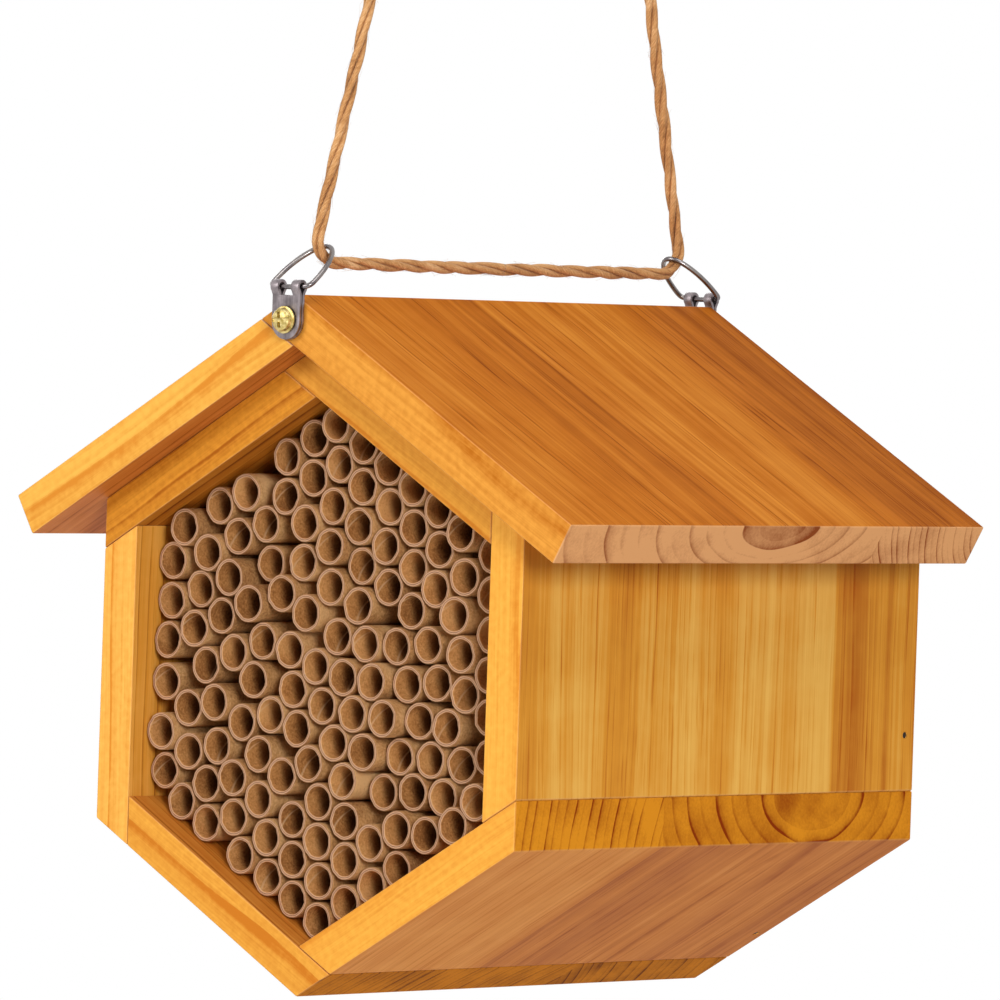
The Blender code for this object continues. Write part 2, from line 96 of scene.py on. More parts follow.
# One for a ray from the camera, off a gloss or through glass, nothing for the light on the object
def seenDirectly(tree):
    rays = addNode(tree, "ShaderNodeLightPath", {})
    seen = addNode(tree, "ShaderNodeMath", {
        "operation": "MAXIMUM", 0: rays["Is Camera Ray"], 1: rays["Is Glossy Ray"]})[0]
    return addNode(tree, "ShaderNodeMath", {
        "operation": "MAXIMUM", 0: seen, 1: rays["Is Transmission Ray"]})[0]


def newMaterial(name, settings):
    material = bpy.data.materials.new(name)
    material.use_nodes = True
    shader = material.node_tree.nodes["Principled BSDF"]
    for socket, value in settings.items():
        shader.inputs[socket].default_value = value
    return material, material.node_tree, shader


def linkShader(tree, shader, sockets):
    for name, socket in sockets.items():
        tree.links.new(socket, shader.inputs[name])


def deselectAll():
    if bpy.context.object and bpy.context.object.mode != "OBJECT":
        bpy.ops.object.mode_set(mode="OBJECT")
    bpy.ops.object.select_all(action="DESELECT")


def makeActive(thing):
    deselectAll()
    thing.select_set(True)
    bpy.context.view_layer.objects.active = thing


def applyModifier(thing, kind, settings):
    makeActive(thing)
    modifier = thing.modifiers.new(kind.lower(), kind)
    for name, value in settings.items():
        setattr(modifier, name, value)
    bpy.ops.object.modifier_apply(modifier=modifier.name)


# Puts a primitive's place into its mesh, so its object sits at the origin
def settlePlace(thing):
    makeActive(thing)
    bpy.ops.object.transform_apply(location=True, rotation=True, scale=True)


def startEdit(thing):
    makeActive(thing)
    bpy.ops.object.mode_set(mode="EDIT")


def endEdit():
    bpy.ops.object.mode_set(mode="OBJECT")


def softenEdges(thing, width, segments, degrees):
    limit = math.radians(degrees)
    settings = {"width": width, "segments": segments, "limit_method": "ANGLE", "angle_limit": limit}
    applyModifier(thing, "BEVEL", settings)


def smoothFaces(thing, degrees):
    makeActive(thing)
    bpy.ops.object.shade_smooth_by_angle(angle=math.radians(degrees))


# These four work on the mesh in edit mode
def selectMesh():
    bpy.ops.mesh.select_all(action="SELECT")


def faceOutward():
    selectMesh()
    bpy.ops.mesh.normals_make_consistent(inside=False)


def cutPlane(place, normal, **how):
    selectMesh()
    bpy.ops.mesh.bisect(plane_co=place, plane_no=normal, **how)


def mergeDoubles():
    selectMesh()
    bpy.ops.mesh.remove_doubles(threshold=0.00001)


# Draws out what is selected in edit mode
def extrudeBy(offset):
    bpy.ops.mesh.extrude_region_move(TRANSFORM_OT_translate={"value": offset})


# Selects, in edit mode, the vertices or polygons whose place passes a test
def selectWhere(thing, kind, test):
    bpy.context.tool_settings.mesh_select_mode = (kind == "vertices", False, kind == "polygons")
    bpy.ops.mesh.select_all(action="DESELECT")
    bpy.ops.object.mode_set(mode="OBJECT")
    for part in getattr(thing.data, kind):
        part.select = test(part.co if kind == "vertices" else part.center)
    bpy.ops.object.mode_set(mode="EDIT")


def cutAway(thing, cutters):
    for cutter in cutters:
        applyModifier(thing, "BOOLEAN", {"operation": "DIFFERENCE", "solver": "EXACT", "object": cutter})
        bpy.data.objects.remove(cutter, do_unlink=True)


def finishPiece(piece, name, material, body, nodes):
    piece.name = name
    piece.data.name = name
    piece.data.materials.clear()
    piece.data.materials.append(material)
    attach(piece, body)
    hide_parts(*nodes)
    return piece


# Mesh from lists, for cords and fibres: strand coordinates on each face, and how far a corner
# stands out from the rope's middle
def meshFromLists(name, corners, faces, strandCoords, reaches):
    mesh = bpy.data.meshes.new(name)
    mesh.from_pydata(corners, [], faces)
    layer = mesh.uv_layers.new(name="strand")
    flat = [value for face in strandCoords for pair in face for value in pair]
    layer.data.foreach_set("uv", flat)
    reach = mesh.attributes.new("reach", "FLOAT", "POINT")
    reach.data.foreach_set("value", [reaches.get(i, 1.0) for i in range(len(corners))])
    mesh.update()
    for face in mesh.polygons:
        face.use_smooth = True
    thing = bpy.data.objects.new(name, mesh)
    bpy.context.scene.collection.objects.link(thing)
    return thing


# Camera

view = {
    "yaw": 40.98, "pitch": -1.25, "roll": 1.91, "lens": 368.0, "distance": 2.6467,
    "aim": Vector((0, 0, -0.25)), "shiftRight": 0.00038, "shiftUp": 0.02103,
}


def makeCamera():
    lens = bpy.data.cameras.new("photo_camera")
    lens.lens = view["lens"]
    lens.sensor_width = 36
    lens.clip_start, lens.clip_end = 0.05, 30
    camera = bpy.data.objects.new("photo_camera", lens)
    bpy.context.scene.collection.objects.link(camera)
    turned = Matrix.Rotation(math.radians(view["yaw"]), 4, "Z")
    turned = turned @ Matrix.Rotation(math.radians(90 + view["pitch"]), 4, "X")
    turned = turned @ Matrix.Rotation(math.radians(view["roll"]), 4, "Z")
    right, up, back = (turned.col[i].to_3d() for i in range(3))
    place = view["aim"] + back * view["distance"] + right * view["shiftRight"] + up * view["shiftUp"]
    camera.matrix_world = Matrix.Translation(place) @ turned
    bpy.context.scene.camera = camera


makeCamera()
print("camera placed")


# Rope: one loop of three-ply jute, threaded through both rings

rope = {
    "diameter": 0.003, "plies": 3, "lay": 0.034, "plyOffset": 0.00081, "plyRadius": 0.00090,
    "sides": 10, "step": 0.0008, "loose": 0.5, "swell": 0.17, "spread": 0.22,
    "fibres": 900, "fibreRadius": 0.00004, "fibreLift": (0.0002, 0.0011), "fibreWrap": 0.9,
    "fibreReach": (4, 8),
    # where it bends in a ring, and the stretch beside the bend
    "bendShare": 0.83, "bendHeight": -0.1655, "bendInward": 0.79, "bendUpward": 0.61,
    "blendStart": 0.018, "blendEnd": 0.002,
}

# Route of the rope's middle line, the same points as the CAD source
ropeRoute = [
    (-0.0003, -0.0494, -0.0741), (-0.0002, -0.0457, -0.0604), (-0.0001, -0.0408, -0.0420),
    (0.0000, -0.0380, -0.0316), (0.0000, -0.0360, -0.0241), (0.0000, -0.0300, -0.0131),
    (0.0000, -0.0167, -0.0022), (0.0000, 0.0000, 0.0015), (-0.0001, 0.0167, -0.0022),
    (-0.0002, 0.0300, -0.0131), (-0.0003, 0.0360, -0.0241), (-0.0004, 0.0380, -0.0316),
    (-0.0007, 0.0408, -0.0420), (-0.0018, 0.0512, -0.0809), (-0.0032, 0.0621, -0.1216),
    (-0.0042, 0.0703, -0.1521), (-0.0045, 0.0728, -0.1614), (-0.0045, 0.0729, -0.1641),
    (-0.0045, 0.0717, -0.1666), (-0.0045, 0.0696, -0.1683), (-0.0044, 0.0669, -0.1689),
    (-0.0039, 0.0500, -0.1691), (-0.0027, 0.0000, -0.1693), (-0.0015, -0.0500, -0.1691),
    (-0.0011, -0.0669, -0.1689), (-0.0010, -0.0696, -0.1683), (-0.0010, -0.0717, -0.1666),
    (-0.0010, -0.0729, -0.1641), (-0.0010, -0.0728, -0.1614), (-0.0009, -0.0703, -0.1521),
    (-0.0006, -0.0621, -0.1216), (-0.0004, -0.0530, -0.0877),
]
knotMiddle = Vector((-0.0003, -0.0512, -0.0809))


# Evenly spaced points on a smooth curve through a route
def smoothRoute(route, spacing, fineness=40):
    route = [Vector(place) for place in route]
    ends = [2 * route[0] - route[1]] + route + [2 * route[-1] - route[-2]]
    dense = [route[0]]
    for p0, p1, p2, p3 in zip(ends, ends[1:], ends[2:], ends[3:]):
        knots = [0.0]
        for first, second in ((p0, p1), (p1, p2), (p2, p3)):
            knots.append(knots[-1] + math.sqrt((second - first).length))
        for step in range(1, fineness + 1):
            t = knots[1] + (knots[2] - knots[1]) * step / fineness
            near = p0.lerp(p1, (t - knots[0]) / (knots[1] - knots[0]))
            middle = p1.lerp(p2, (t - knots[1]) / (knots[2] - knots[1]))
            far = p2.lerp(p3, (t - knots[2]) / (knots[3] - knots[2]))
            early = near.lerp(middle, (t - knots[0]) / (knots[2] - knots[0]))
            late = middle.lerp(far, (t - knots[1]) / (knots[3] - knots[1]))
            dense.append(early.lerp(late, (t - knots[1]) / (knots[2] - knots[1])))
    total = sum((b - a).length for a, b in zip(dense, dense[1:]))
    count = round(total / spacing)
    points, walked, index = [dense[0]], 0.0, 0
    for step in range(1, count):
        target = total * step / count
        while walked + (dense[index + 1] - dense[index]).length < target:
            walked += (dense[index + 1] - dense[index]).length
            index += 1
        span = (dense[index + 1] - dense[index]).length
        points.append(dense[index].lerp(dense[index + 1], (target - walked) / span))
    return points + [dense[-1]]


# A pair of side directions at each point that never spins about the line
def steadyFrames(points):
    frames = []
    side = None
    for i in range(len(points)):
        ahead = (points[min(i + 1, len(points) - 1)] - points[max(i - 1, 0)]).normalized()
        if side is None:
            side = ahead.orthogonal().normalized()
        side = (side - ahead * side.dot(ahead)).normalized()
        frames.append((ahead, side, ahead.cross(side)))
    return frames


# Tube round a line of middles, closed at both ends
def addStrand(lists, middles, frames, radii, sides, lengths):
    corners, faces, coords = lists[:3]
    start = len(corners)
    for middle, (_, side, other), radius in zip(middles, frames, radii):
        for k in range(sides):
            turn = 2 * math.pi * k / sides
            corners.append(middle + side * (radius * math.cos(turn)) + other * (radius * math.sin(turn)))
    for i in range(len(middles) - 1):
        low, high = lengths[i], lengths[i + 1]
        for k in range(sides):
            a, b = start + i * sides + k, start + i * sides + (k + 1) % sides
            faces.append((a, b, b + sides, a + sides))
            near, far = k / sides, (k + 1) / sides
            coords.append([(low, near), (low, far), (high, far), (high, near)])
    last = start + (len(middles) - 1) * sides
    faces.append(tuple(start + k for k in reversed(range(sides))))
    coords.append([(lengths[0], 0.5)] * sides)
    faces.append(tuple(last + k for k in range(sides)))
    coords.append([(lengths[-1], 0.5)] * sides)


def alongLine(points, start=0.0):
    lengths = [start]
    for a, b in zip(points, points[1:]):
        lengths.append(lengths[-1] + (b - a).length)
    return lengths


# Twisted plies along a line, starting at a length along the whole rope. Each wanders a
# little round the lay, swells and stands off unevenly
def addPlies(lists, points, frames, startLength, size=1.0):
    lengths = alongLine(points, startLength)
    for ply in range(rope["plies"]):
        first = len(lists[0])
        middles, plyFrames, radii = [], [], []
        for point, (_, side, other), length in zip(points, frames, lengths):
            loose = rope["loose"] * noise.noise(Vector((length * 40, 7.1, 0)))
            turn = 2 * math.pi * (length / rope["lay"] + ply / rope["plies"]) + loose
            swell = 1 + rope["swell"] * noise.noise(Vector((length * 90, 3.3 * ply, 1.7)))
            spread = 1 + rope["spread"] * noise.noise(Vector((length * 60, 2.1 * ply + 5, 4.2)))
            reach = rope["plyOffset"] * size * spread
            middles.append(point + side * (reach * math.cos(turn)) + other * (reach * math.sin(turn)))
            radii.append(rope["plyRadius"] * size * swell)
        for i in range(len(middles)):
            ahead = (middles[min(i + 1, len(middles) - 1)] - middles[max(i - 1, 0)]).normalized()
            side = frames[i][1]
            side = (side - ahead * side.dot(ahead)).normalized()
            plyFrames.append((ahead, side, ahead.cross(side)))
        addStrand(lists, middles, plyFrames, radii, rope["sides"], lengths)
        for i, corner in enumerate(lists[0][first:]):
            away = (corner - points[i // rope["sides"]]).length
            lists[3][first + i] = away / (rope["diameter"] / 2 * size)


# Loose fibres that stand a little off the plies
def addFibres(lists, points, frames, count, seed):
    chance = random.Random(seed)
    for _ in range(count):
        i = chance.randrange(3, len(points) - 9)
        turn = chance.uniform(0, 2 * math.pi)
        lift = chance.uniform(*rope["fibreLift"])
        wrap = chance.uniform(-rope["fibreWrap"], rope["fibreWrap"])
        reach = chance.randrange(*rope["fibreReach"])
        way = chance.choice((-1, 1))
        middles = []
        for k in range(5):
            at = min(max(i + way * k * reach // 4, 0), len(points) - 1)
            _, side, other = frames[at]
            angle = turn + wrap * k / 4
            out = rope["diameter"] / 2 * 0.92 + lift * (k / 4) ** 1.6
            middles.append(points[at] + side * (out * math.cos(angle)) + other * (out * math.sin(angle)))
        radii = [rope["fibreRadius"] * (1 - 0.15 * k) for k in range(5)]
        addStrand(lists, middles, steadyFrames(middles), radii, 3, [0.01 * k for k in range(5)])


def makeJute():
    # Jute: retted plant fibre, combed and spun. Dull golden tan, fine fibre lines along each
    # ply, with painted shade darkening the grooves between plies
    material, tree, shader = newMaterial("spun_jute", {
        "Roughness": 0.85, "Specular IOR Level": 0.2, "Sheen Weight": 0.1, "Sheen Roughness": 0.5})
    strand = addNode(tree, "ShaderNodeUVMap", {"uv_map": "strand"})[0]
    parts = addNode(tree, "ShaderNodeSeparateXYZ", {0: strand})
    # the fibres turn once round a ply in 9 mm
    around = addNode(tree, "ShaderNodeMath", {"operation": "MULTIPLY", 0: parts[1], 1: 2 * math.pi})[0]
    twist = addNode(tree, "ShaderNodeMath", {
        "operation": "MULTIPLY_ADD", 0: parts[0], 1: -700.0, 2: around})[0]
    sine = addNode(tree, "ShaderNodeMath", {"operation": "SINE", 0: twist})[0]
    cosine = addNode(tree, "ShaderNodeMath", {"operation": "COSINE", 0: twist})[0]
    slow = addNode(tree, "ShaderNodeMath", {"operation": "MULTIPLY", 0: parts[0], 1: 160.0})[0]
    turned = addNode(tree, "ShaderNodeCombineXYZ", {0: slow, 1: sine, 2: cosine})[0]
    fibres = addNode(tree, "ShaderNodeTexNoise", {
        "Vector": turned, "Scale": 4.0, "Detail": 5.0, "Roughness": 0.75})[0]
    place = addNode(tree, "ShaderNodeTexCoord", {})["Object"]
    blotch = addNode(tree, "ShaderNodeTexNoise", {"Vector": place, "Scale": 120.0, "Detail": 2.0})[0]
    tone = addNode(tree, "ShaderNodeMix", {"data_type": "FLOAT", 0: 0.3, 2: fibres, 3: blotch})[0]
    reach = addNode(tree, "ShaderNodeAttribute", {"attribute_name": "reach"})["Fac"]
    # painted shade: corners nearer the rope's middle, down in the grooves between plies, are darkened
    paintedGrooveShade = addNode(tree, "ShaderNodeMapRange", {0: reach, 1: 0.55, 2: 0.92, 3: -0.16, 4: 0.0})[0]
    tone = addNode(tree, "ShaderNodeMath", {"operation": "ADD", 0: tone, 1: paintedGrooveShade})[0]
    colour = addNode(tree, "ShaderNodeValToRGB", {
        0: tone, "stops": [(0.28, "6A4224"), (0.40, "A46E40"), (0.51, "CB945C"), (0.64, "EBBE8C")]})[0]
    bump = addNode(tree, "ShaderNodeBump", {"Height": fibres, "Strength": 0.5, "Distance": 0.00025})[0]
    linkShader(tree, shader, {"Base Color": colour, "Normal": bump})
    return material


juteMaterial = makeJute()


def makeRope():
    points = smoothRoute([knotMiddle] + ropeRoute + [knotMiddle], rope["step"])
    frames = steadyFrames(points)
    ridge = [i for i, p in enumerate(points) if p.z < -0.16 and abs(p.y) < 0.002]
    half = ridge[len(ridge) // 2]
    spans = {"rear": (0, half + 1), "front": (half, len(points))}
    lengths = alongLine(points)
    made = {}
    for end, (start, stop) in spans.items():
        lists = ([], [], [], {})
        addPlies(lists, points[start:stop], frames[start:stop], lengths[start])
        share = (stop - start) / len(points)
        addFibres(lists, points[start:stop], frames[start:stop], round(rope["fibres"] * share), 11 + start)
        piece = meshFromLists(end + "_rope_half", *lists)
        piece.data.materials.append(juteMaterial)
        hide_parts("rope")
        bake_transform(piece)
        line = points[start:stop:3]
        if end == "rear":
            line = points[start:stop][::-1][::3]
        made[end] = (piece, line, lengths[stop - 1] - lengths[start])
    return made, points[half]


# A tail's points lie so far out from the knot and along the rope
knot = {
    "wraps": 3.1, "steps": 24, "height": 0.0084, "radius": 0.00272, "size": 0.9, "step": 0.0006,
    "lowerTail": [(0.0022, -0.0008), (0.0045, -0.0036), (0.0050, -0.0075)],
    "upperTail": [(0.0022, 0.0008), (0.0046, 0.0034), (0.0052, 0.0070)],
    "frays": 34, "frayRoot": 0.001, "fraySpread": 0.0008, "frayStep": 0.0011, "frayCurl": 0.00022,
    "frayRadii": [0.00009, 0.00008, 0.00007, 0.00004],
}


# Knot: the two ends wrapped three times round each other, with short frayed tails
def makeKnot():
    axis = (Vector(ropeRoute[0]) - Vector(ropeRoute[-1])).normalized()
    across = Vector((1, 0, 0))
    across = (across - axis * across.dot(axis)).normalized()
    other = axis.cross(across)
    wrap = []
    for step in range(knot["steps"] + 1):
        turn = 2 * math.pi * knot["wraps"] * step / knot["steps"]
        height = -knot["height"] / 2 + knot["height"] * step / knot["steps"]
        sideways, forwards = knot["radius"] * math.cos(turn), knot["radius"] * math.sin(turn)
        wrap.append(knotMiddle + axis * height + across * sideways + other * forwards)
    out = (wrap[0] - wrap[1]).normalized()
    first = [wrap[0] + out * away + axis * along for away, along in knot["lowerTail"]]
    out = (wrap[-1] - wrap[-2]).normalized()
    last = [wrap[-1] + out * away + axis * along for away, along in knot["upperTail"]]
    points = smoothRoute(first[::-1] + wrap + last, knot["step"])
    frames = steadyFrames(points)
    lists = ([], [], [], {})
    addPlies(lists, points, frames, 0.0, knot["size"])
    chance = random.Random(5)
    for tip, way in ((points[0], frames[0][0] * -1), (points[-1], frames[-1][0])):
        for _ in range(knot["frays"]):
            side = Vector([chance.uniform(-1, 1) for _ in range(3)])
            root = tip - way * knot["frayRoot"] + side * knot["fraySpread"]
            middles, lengths = [], []
            for k in range(len(knot["frayRadii"])):
                middles.append(root + way * (knot["frayStep"] * k) + side * (knot["frayCurl"] * k * k))
                lengths.append(0.01 * k)
            addStrand(lists, middles, steadyFrames(middles), knot["frayRadii"], 3, lengths)
    piece = meshFromLists("rope_end_knot", *lists)
    return finishPiece(piece, "rope_end_knot", juteMaterial, "house", ["rope_knot"])


ropeHalves, ridgePoint = makeRope()
knotPiece = makeKnot()
print("rope made")


# Boards: fir, sawn flat, planed and rubbed with clear oil

walls = {
    "innerSide": 0.0604, "outerSide": 0.0715, "joint": 0.00004, "edgeRound": 0.00045, "halfBlank": 0.06,
    "angles": {"right": 0, "upper_right": 60, "upper_left": 120, "left": 180, "lower_left": 240,
               "lower_right": 300},
}
roof = {"underside": 0.07156, "top": 0.0829, "slopeLength": 0.1092, "halfDepth": 0.08215, "pastRidge": 0.07}
panel = {"thickness": 0.008, "gap": 0.0003, "edgeRound": 0.0006}
nailHole = {"radius": 0.0009, "depth": 0.0012, "fromRear": 0.004, "fromMiddle": 0.014}

# Grain of each board. Staves start at a place across the board and have their pith
# across and deep, how flat their rings are, how dark they are and how much closer the
# rings lie. The core is the plain wood round the pith, before the first ring, the heart
# its added darkness, and far the strength of the rings well outside it. Bands are soft
# darker stripes, by share of the board's depth from the front. The first table holds
# what most boards share.
firDefaults = {
    "end": ("E3A048", "A9641F"), "uneven": 1.5, "core": 0.0, "heart": 0.0, "far": 1.0,
    "pores": 0.15, "gloss": 0.12, "streaks": 0.36, "bands": [(0, 0.3), (0.5, 0.5), (1, 0.3)],
}
firLooks = {
    "right": {
        "face": ("E6B155", "D48E2C", "A85508"), "edge": ("F8B64A", "DE8A26"), "end": ("E9A648", "B0651A"),
        "ringGap": 0.0026, "ringShare": 0.22, "uneven": 1.6,
        "staves": [(-0.1, 0.150, 0.020, 1.0, 0.0, 1.0), (0.0505, 0.130, 0.030, 1.0, 0.04, 1.0)],
        "bands": [(0, 0.45), (0.03, 0.8), (0.06, 0.35), (0.09, 0.1), (0.12, 0.5), (0.14, 0.1),
                  (0.22, 0.3), (0.26, 0.75), (0.30, 0.4), (0.35, 0.3), (0.42, 0.1), (0.5, 0.5),
                  (0.55, 0.1), (0.66, 0.25), (0.775, 0.0), (0.79, 0.75), (0.83, 0.95), (0.86, 1.0),
                  (0.87, 0.55), (0.91, 0.4), (0.925, 0.7), (0.94, 0.35), (1, 0.5)],
    },
    "upper_right": {
        "face": ("DFA24A", "C9842F", "9A5314"), "edge": ("EDA63E", "CC7A20"),
        "ringGap": 0.0024, "ringShare": 0.4, "staves": [(-0.1, -0.02, 0.040, 1.0, 0.0, 1.0)],
    },
    # upper left: its edge colours are darker partly from the board's own tone and partly as painted shade,
    # the roof's shadow on the front of this wall
    "upper_left": {
        "face": ("CB8832", "B26819", "7C3D0A"), "edge": ("DE942C", "A85A0A"),
        "ringGap": 0.0024, "ringShare": 0.45, "staves": [(-0.1, 0.01, 0.030, 0.9, 0.0, 1.0)],
        "bands": [(0, 0.4), (0.5, 0.3), (1, 0.5)],
    },
    "left": {
        "face": ("F0B056", "DA9434", "A5611A"), "edge": ("FABC56", "E08A28"),
        "ringGap": 0.0025, "ringShare": 0.45, "staves": [(-0.1, -0.01, 0.046, 1.0, 0.0, 1.0)],
    },
    "lower_left": {
        "face": ("D89640", "BF7024", "8A4612"), "edge": ("EEA840", "CE781C"), "end": ("C67618", "662C04"),
        "ringGap": 0.0024, "ringShare": 0.45, "uneven": 1.4,
        "staves": [(-0.1, 0.12, 0.100, 1.1, 0.0, 1.0), (0.025, -0.02, 0.1, 1.0, 0.08, 1.0)],
        "bands": [(0, 0.3), (0.5, 0.4), (1, 0.3)],
    },
    # lower right: its face colours are lighter partly as painted light, the light thrown up from below onto
    # this underside
    "lower_right": {
        "face": ("DE9344", "C7772E", "96491A"), "edge": ("F6B248", "DC8426"), "end": ("D88A1E", "863004"),
        "ringGap": 0.0058, "ringShare": 0.20, "uneven": 0.4, "core": 0.0155, "heart": -0.08, "gloss": 0.05,
        "staves": [(-0.1, 0.045, 0.090, 1.0, -0.04, 1.9), (-0.0155, 0.0433, 0.0604, 1.9, 0.10, 1.0)],
        "bands": [(0, 0.35), (0.2, 0.2), (0.33, 0.3), (0.37, 0.6), (0.42, 0.35), (0.5, 0.6), (0.6, 0.3),
                  (0.7, 0.25), (0.8, 0.45), (0.88, 0.3), (0.94, 0.6), (1, 0.4)],
    },
    "right_roof": {
        "face": ("DA8A2E", "C06C18", "863E06"), "edge": ("E89E40", "BE6C1A"), "end": ("DDA06A", "8A4420"),
        "ringGap": 0.0066, "ringShare": 0.12, "uneven": 0.4, "core": 0.0087, "heart": 0.50, "far": 0.6,
        "pores": 0.3, "gloss": 0.04, "streaks": 0.65,
        "staves": [(-0.1, -0.0005, 0.0830, 2.3, -0.15, 1.0), (0.0415, 0.160, 0.090, 2.2, -0.03, 2.8)],
        "bands": [(0, 0.35), (0.1, 0.3), (0.2, 0.45), (0.3, 0.6), (0.38, 0.62), (0.46, 0.35), (0.6, 0.3),
                  (0.7, 0.35), (0.76, 0.3), (0.78, 0.5), (0.86, 0.4), (0.92, 0.6), (0.96, 0.45), (1, 0.6)],
    },
    "left_roof": {
        "face": ("D68A40", "BC6E2A", "843F10"), "edge": ("F5B74E", "DC8A2A"), "end": ("DDAB7C", "A06A42"),
        "ringGap": 0.0034, "ringShare": 0.3, "uneven": 1.4, "staves": [(-0.1, 0.02, 0.040, 1.0, 0.0, 1.0)],
        "bands": [(0, 0.4), (0.3, 0.6), (0.6, 0.3), (1, 0.5)],
    },
    "back": {
        "face": ("DCA85E", "C2863E", "8F521C"), "edge": ("E3B060", "B87A36"), "end": ("DDAB7C", "A06A42"),
        "ringGap": 0.0036, "ringShare": 0.4,
        "staves": [(-0.1, 0.0, 0.030, 1.0, 0.0, 1.0), (0.012, -0.05, 0.02, 1.0, 0.15, 1.0)],
        "bands": [(0, 0.4), (0.5, 0.5), (1, 0.4)],
    },
}


# Darkness through one ring, from its early wood to its late wood
lateShades = [(0.0, 0.25), (0.05, 0.0), (0.5, 0.06), (0.78, 0.28), (0.9, 0.75), (0.95, 1.0), (1.0, 0.55)]


# The grain's place in a board: x along the grain, y across the board, z out through it
def grainPlace(tree, board, angle, coords):
    if board == "back":
        settings = {"Rotation": (math.radians(90), 0, math.radians(90))}
        grain = Vector((0, 0, 1))
    else:
        turn = Matrix.Rotation(math.radians(angle - 90), 3, "Y")
        settings = {"Rotation": (0, math.radians(angle - 90), 0), "Location": -(turn @ houseMiddle)}
        grain = turn.inverted() @ Vector((1, 0, 0))
    place = addNode(tree, "ShaderNodeMapping", {"Vector": coords["Object"]} | settings)[0]
    # the grain wanders a few millimetres along a board
    slow = addNode(tree, "ShaderNodeVectorMath", {"operation": "MULTIPLY", 0: place, 1: (7, 22, 22)})[0]
    sway = addNode(tree, "ShaderNodeTexNoise", {
        "Vector": slow, "Scale": 1.0, "Detail": 2.0, "Roughness": 0.45})[1]
    sway = addNode(tree, "ShaderNodeVectorMath", {"operation": "SUBTRACT", 0: sway, 1: (0.5, 0.5, 0.5)})[0]
    sway = addNode(tree, "ShaderNodeVectorMath", {"operation": "MULTIPLY", 0: sway, 1: (0, 0.007, 0.009)})[0]
    swayed = addNode(tree, "ShaderNodeVectorMath", {"operation": "ADD", 0: place, 1: sway})[0]
    return grain, place, swayed


# Rings counted outward from each stave's pith, with the stave's darkness, and whether a point
# is past the first stave
def countRings(tree, look, place, swayed):
    straight = addNode(tree, "ShaderNodeSeparateXYZ", {0: place})
    _, across, deep, flatness, darkness, closeness = look["staves"][0]
    pith, past = (0, across, deep), 0.0
    for start, across, deep, flat, dark, close in look["staves"][1:]:
        past = addNode(tree, "ShaderNodeMath", {"operation": "GREATER_THAN", 0: straight[1], 1: start})[0]
        pith = addNode(tree, "ShaderNodeMix", {
            "data_type": "VECTOR", 0: past, 4: pith, 5: (0, across, deep)})[1]
        flatness = addNode(tree, "ShaderNodeMix", {"data_type": "FLOAT", 0: past, 2: flatness, 3: flat})[0]
        darkness = addNode(tree, "ShaderNodeMix", {"data_type": "FLOAT", 0: past, 2: darkness, 3: dark})[0]
        closeness = addNode(tree, "ShaderNodeMix", {
            "data_type": "FLOAT", 0: past, 2: closeness, 3: close})[0]
    away = addNode(tree, "ShaderNodeVectorMath", {"operation": "SUBTRACT", 0: swayed, 1: pith})[0]
    away = addNode(tree, "ShaderNodeSeparateXYZ", {0: away})
    deepAway = addNode(tree, "ShaderNodeMath", {"operation": "MULTIPLY", 0: away[2], 1: flatness})[0]
    radial = addNode(tree, "ShaderNodeCombineXYZ", {1: away[1], 2: deepAway})[0]
    distance = addNode(tree, "ShaderNodeVectorMath", {"operation": "LENGTH", 0: radial})["Value"]
    distance = addNode(tree, "ShaderNodeMath", {"operation": "SUBTRACT", 0: distance, 1: look["core"]})[0]
    distance = addNode(tree, "ShaderNodeMath", {"operation": "MAXIMUM", 0: distance, 1: 0.0})[0]
    rings = addNode(tree, "ShaderNodeMath", {"operation": "DIVIDE", 0: distance, 1: look["ringGap"]})[0]
    rings = addNode(tree, "ShaderNodeMath", {"operation": "MULTIPLY", 0: rings, 1: closeness})[0]
    return rings, darkness, past


# Thin dark late wood at the end of each ring. Some years are strong, some faint
def lateWood(tree, look, rings, past, cloud):
    far = addNode(tree, "ShaderNodeMapRange", {0: rings, 1: 1.6, 2: 2.4, 3: 1.0, 4: look["far"]})[0]
    far = addNode(tree, "ShaderNodeMath", {"operation": "MAXIMUM", 0: far, 1: past})[0]
    uneven = addNode(tree, "ShaderNodeTexNoise", {
        "noise_dimensions": "1D", "W": rings, "Scale": 0.5, "Detail": 2.0})[0]
    uneven = addNode(tree, "ShaderNodeMath", {"operation": "SUBTRACT", 0: uneven, 1: 0.5})[0]
    rings = weighedSum(tree, rings, (uneven, look["uneven"]))
    share = addNode(tree, "ShaderNodeMath", {"operation": "FRACT", 0: rings})[0]
    late = addNode(tree, "ShaderNodeValToRGB", {0: share, "stops": lateShades})[0]
    year = addNode(tree, "ShaderNodeMath", {"operation": "FLOOR", 0: rings})[0]
    year = addNode(tree, "ShaderNodeMath", {"operation": "MULTIPLY_ADD", 0: year, 1: 2.4, 2: 1.57})[0]
    year = addNode(tree, "ShaderNodeMath", {"operation": "SINE", 0: year})[0]
    year = addNode(tree, "ShaderNodeMapRange", {0: year, 1: -1.0, 2: 1.0, 3: 0.15, 4: 1.0})[0]
    fade = addNode(tree, "ShaderNodeMapRange", {0: cloud, 1: -0.12, 2: 0.12, 3: 0.45, 4: 1.0})[0]
    for strength in (year, fade, far):
        late = addNode(tree, "ShaderNodeMath", {"operation": "MULTIPLY", 0: late, 1: strength})[0]
    return late


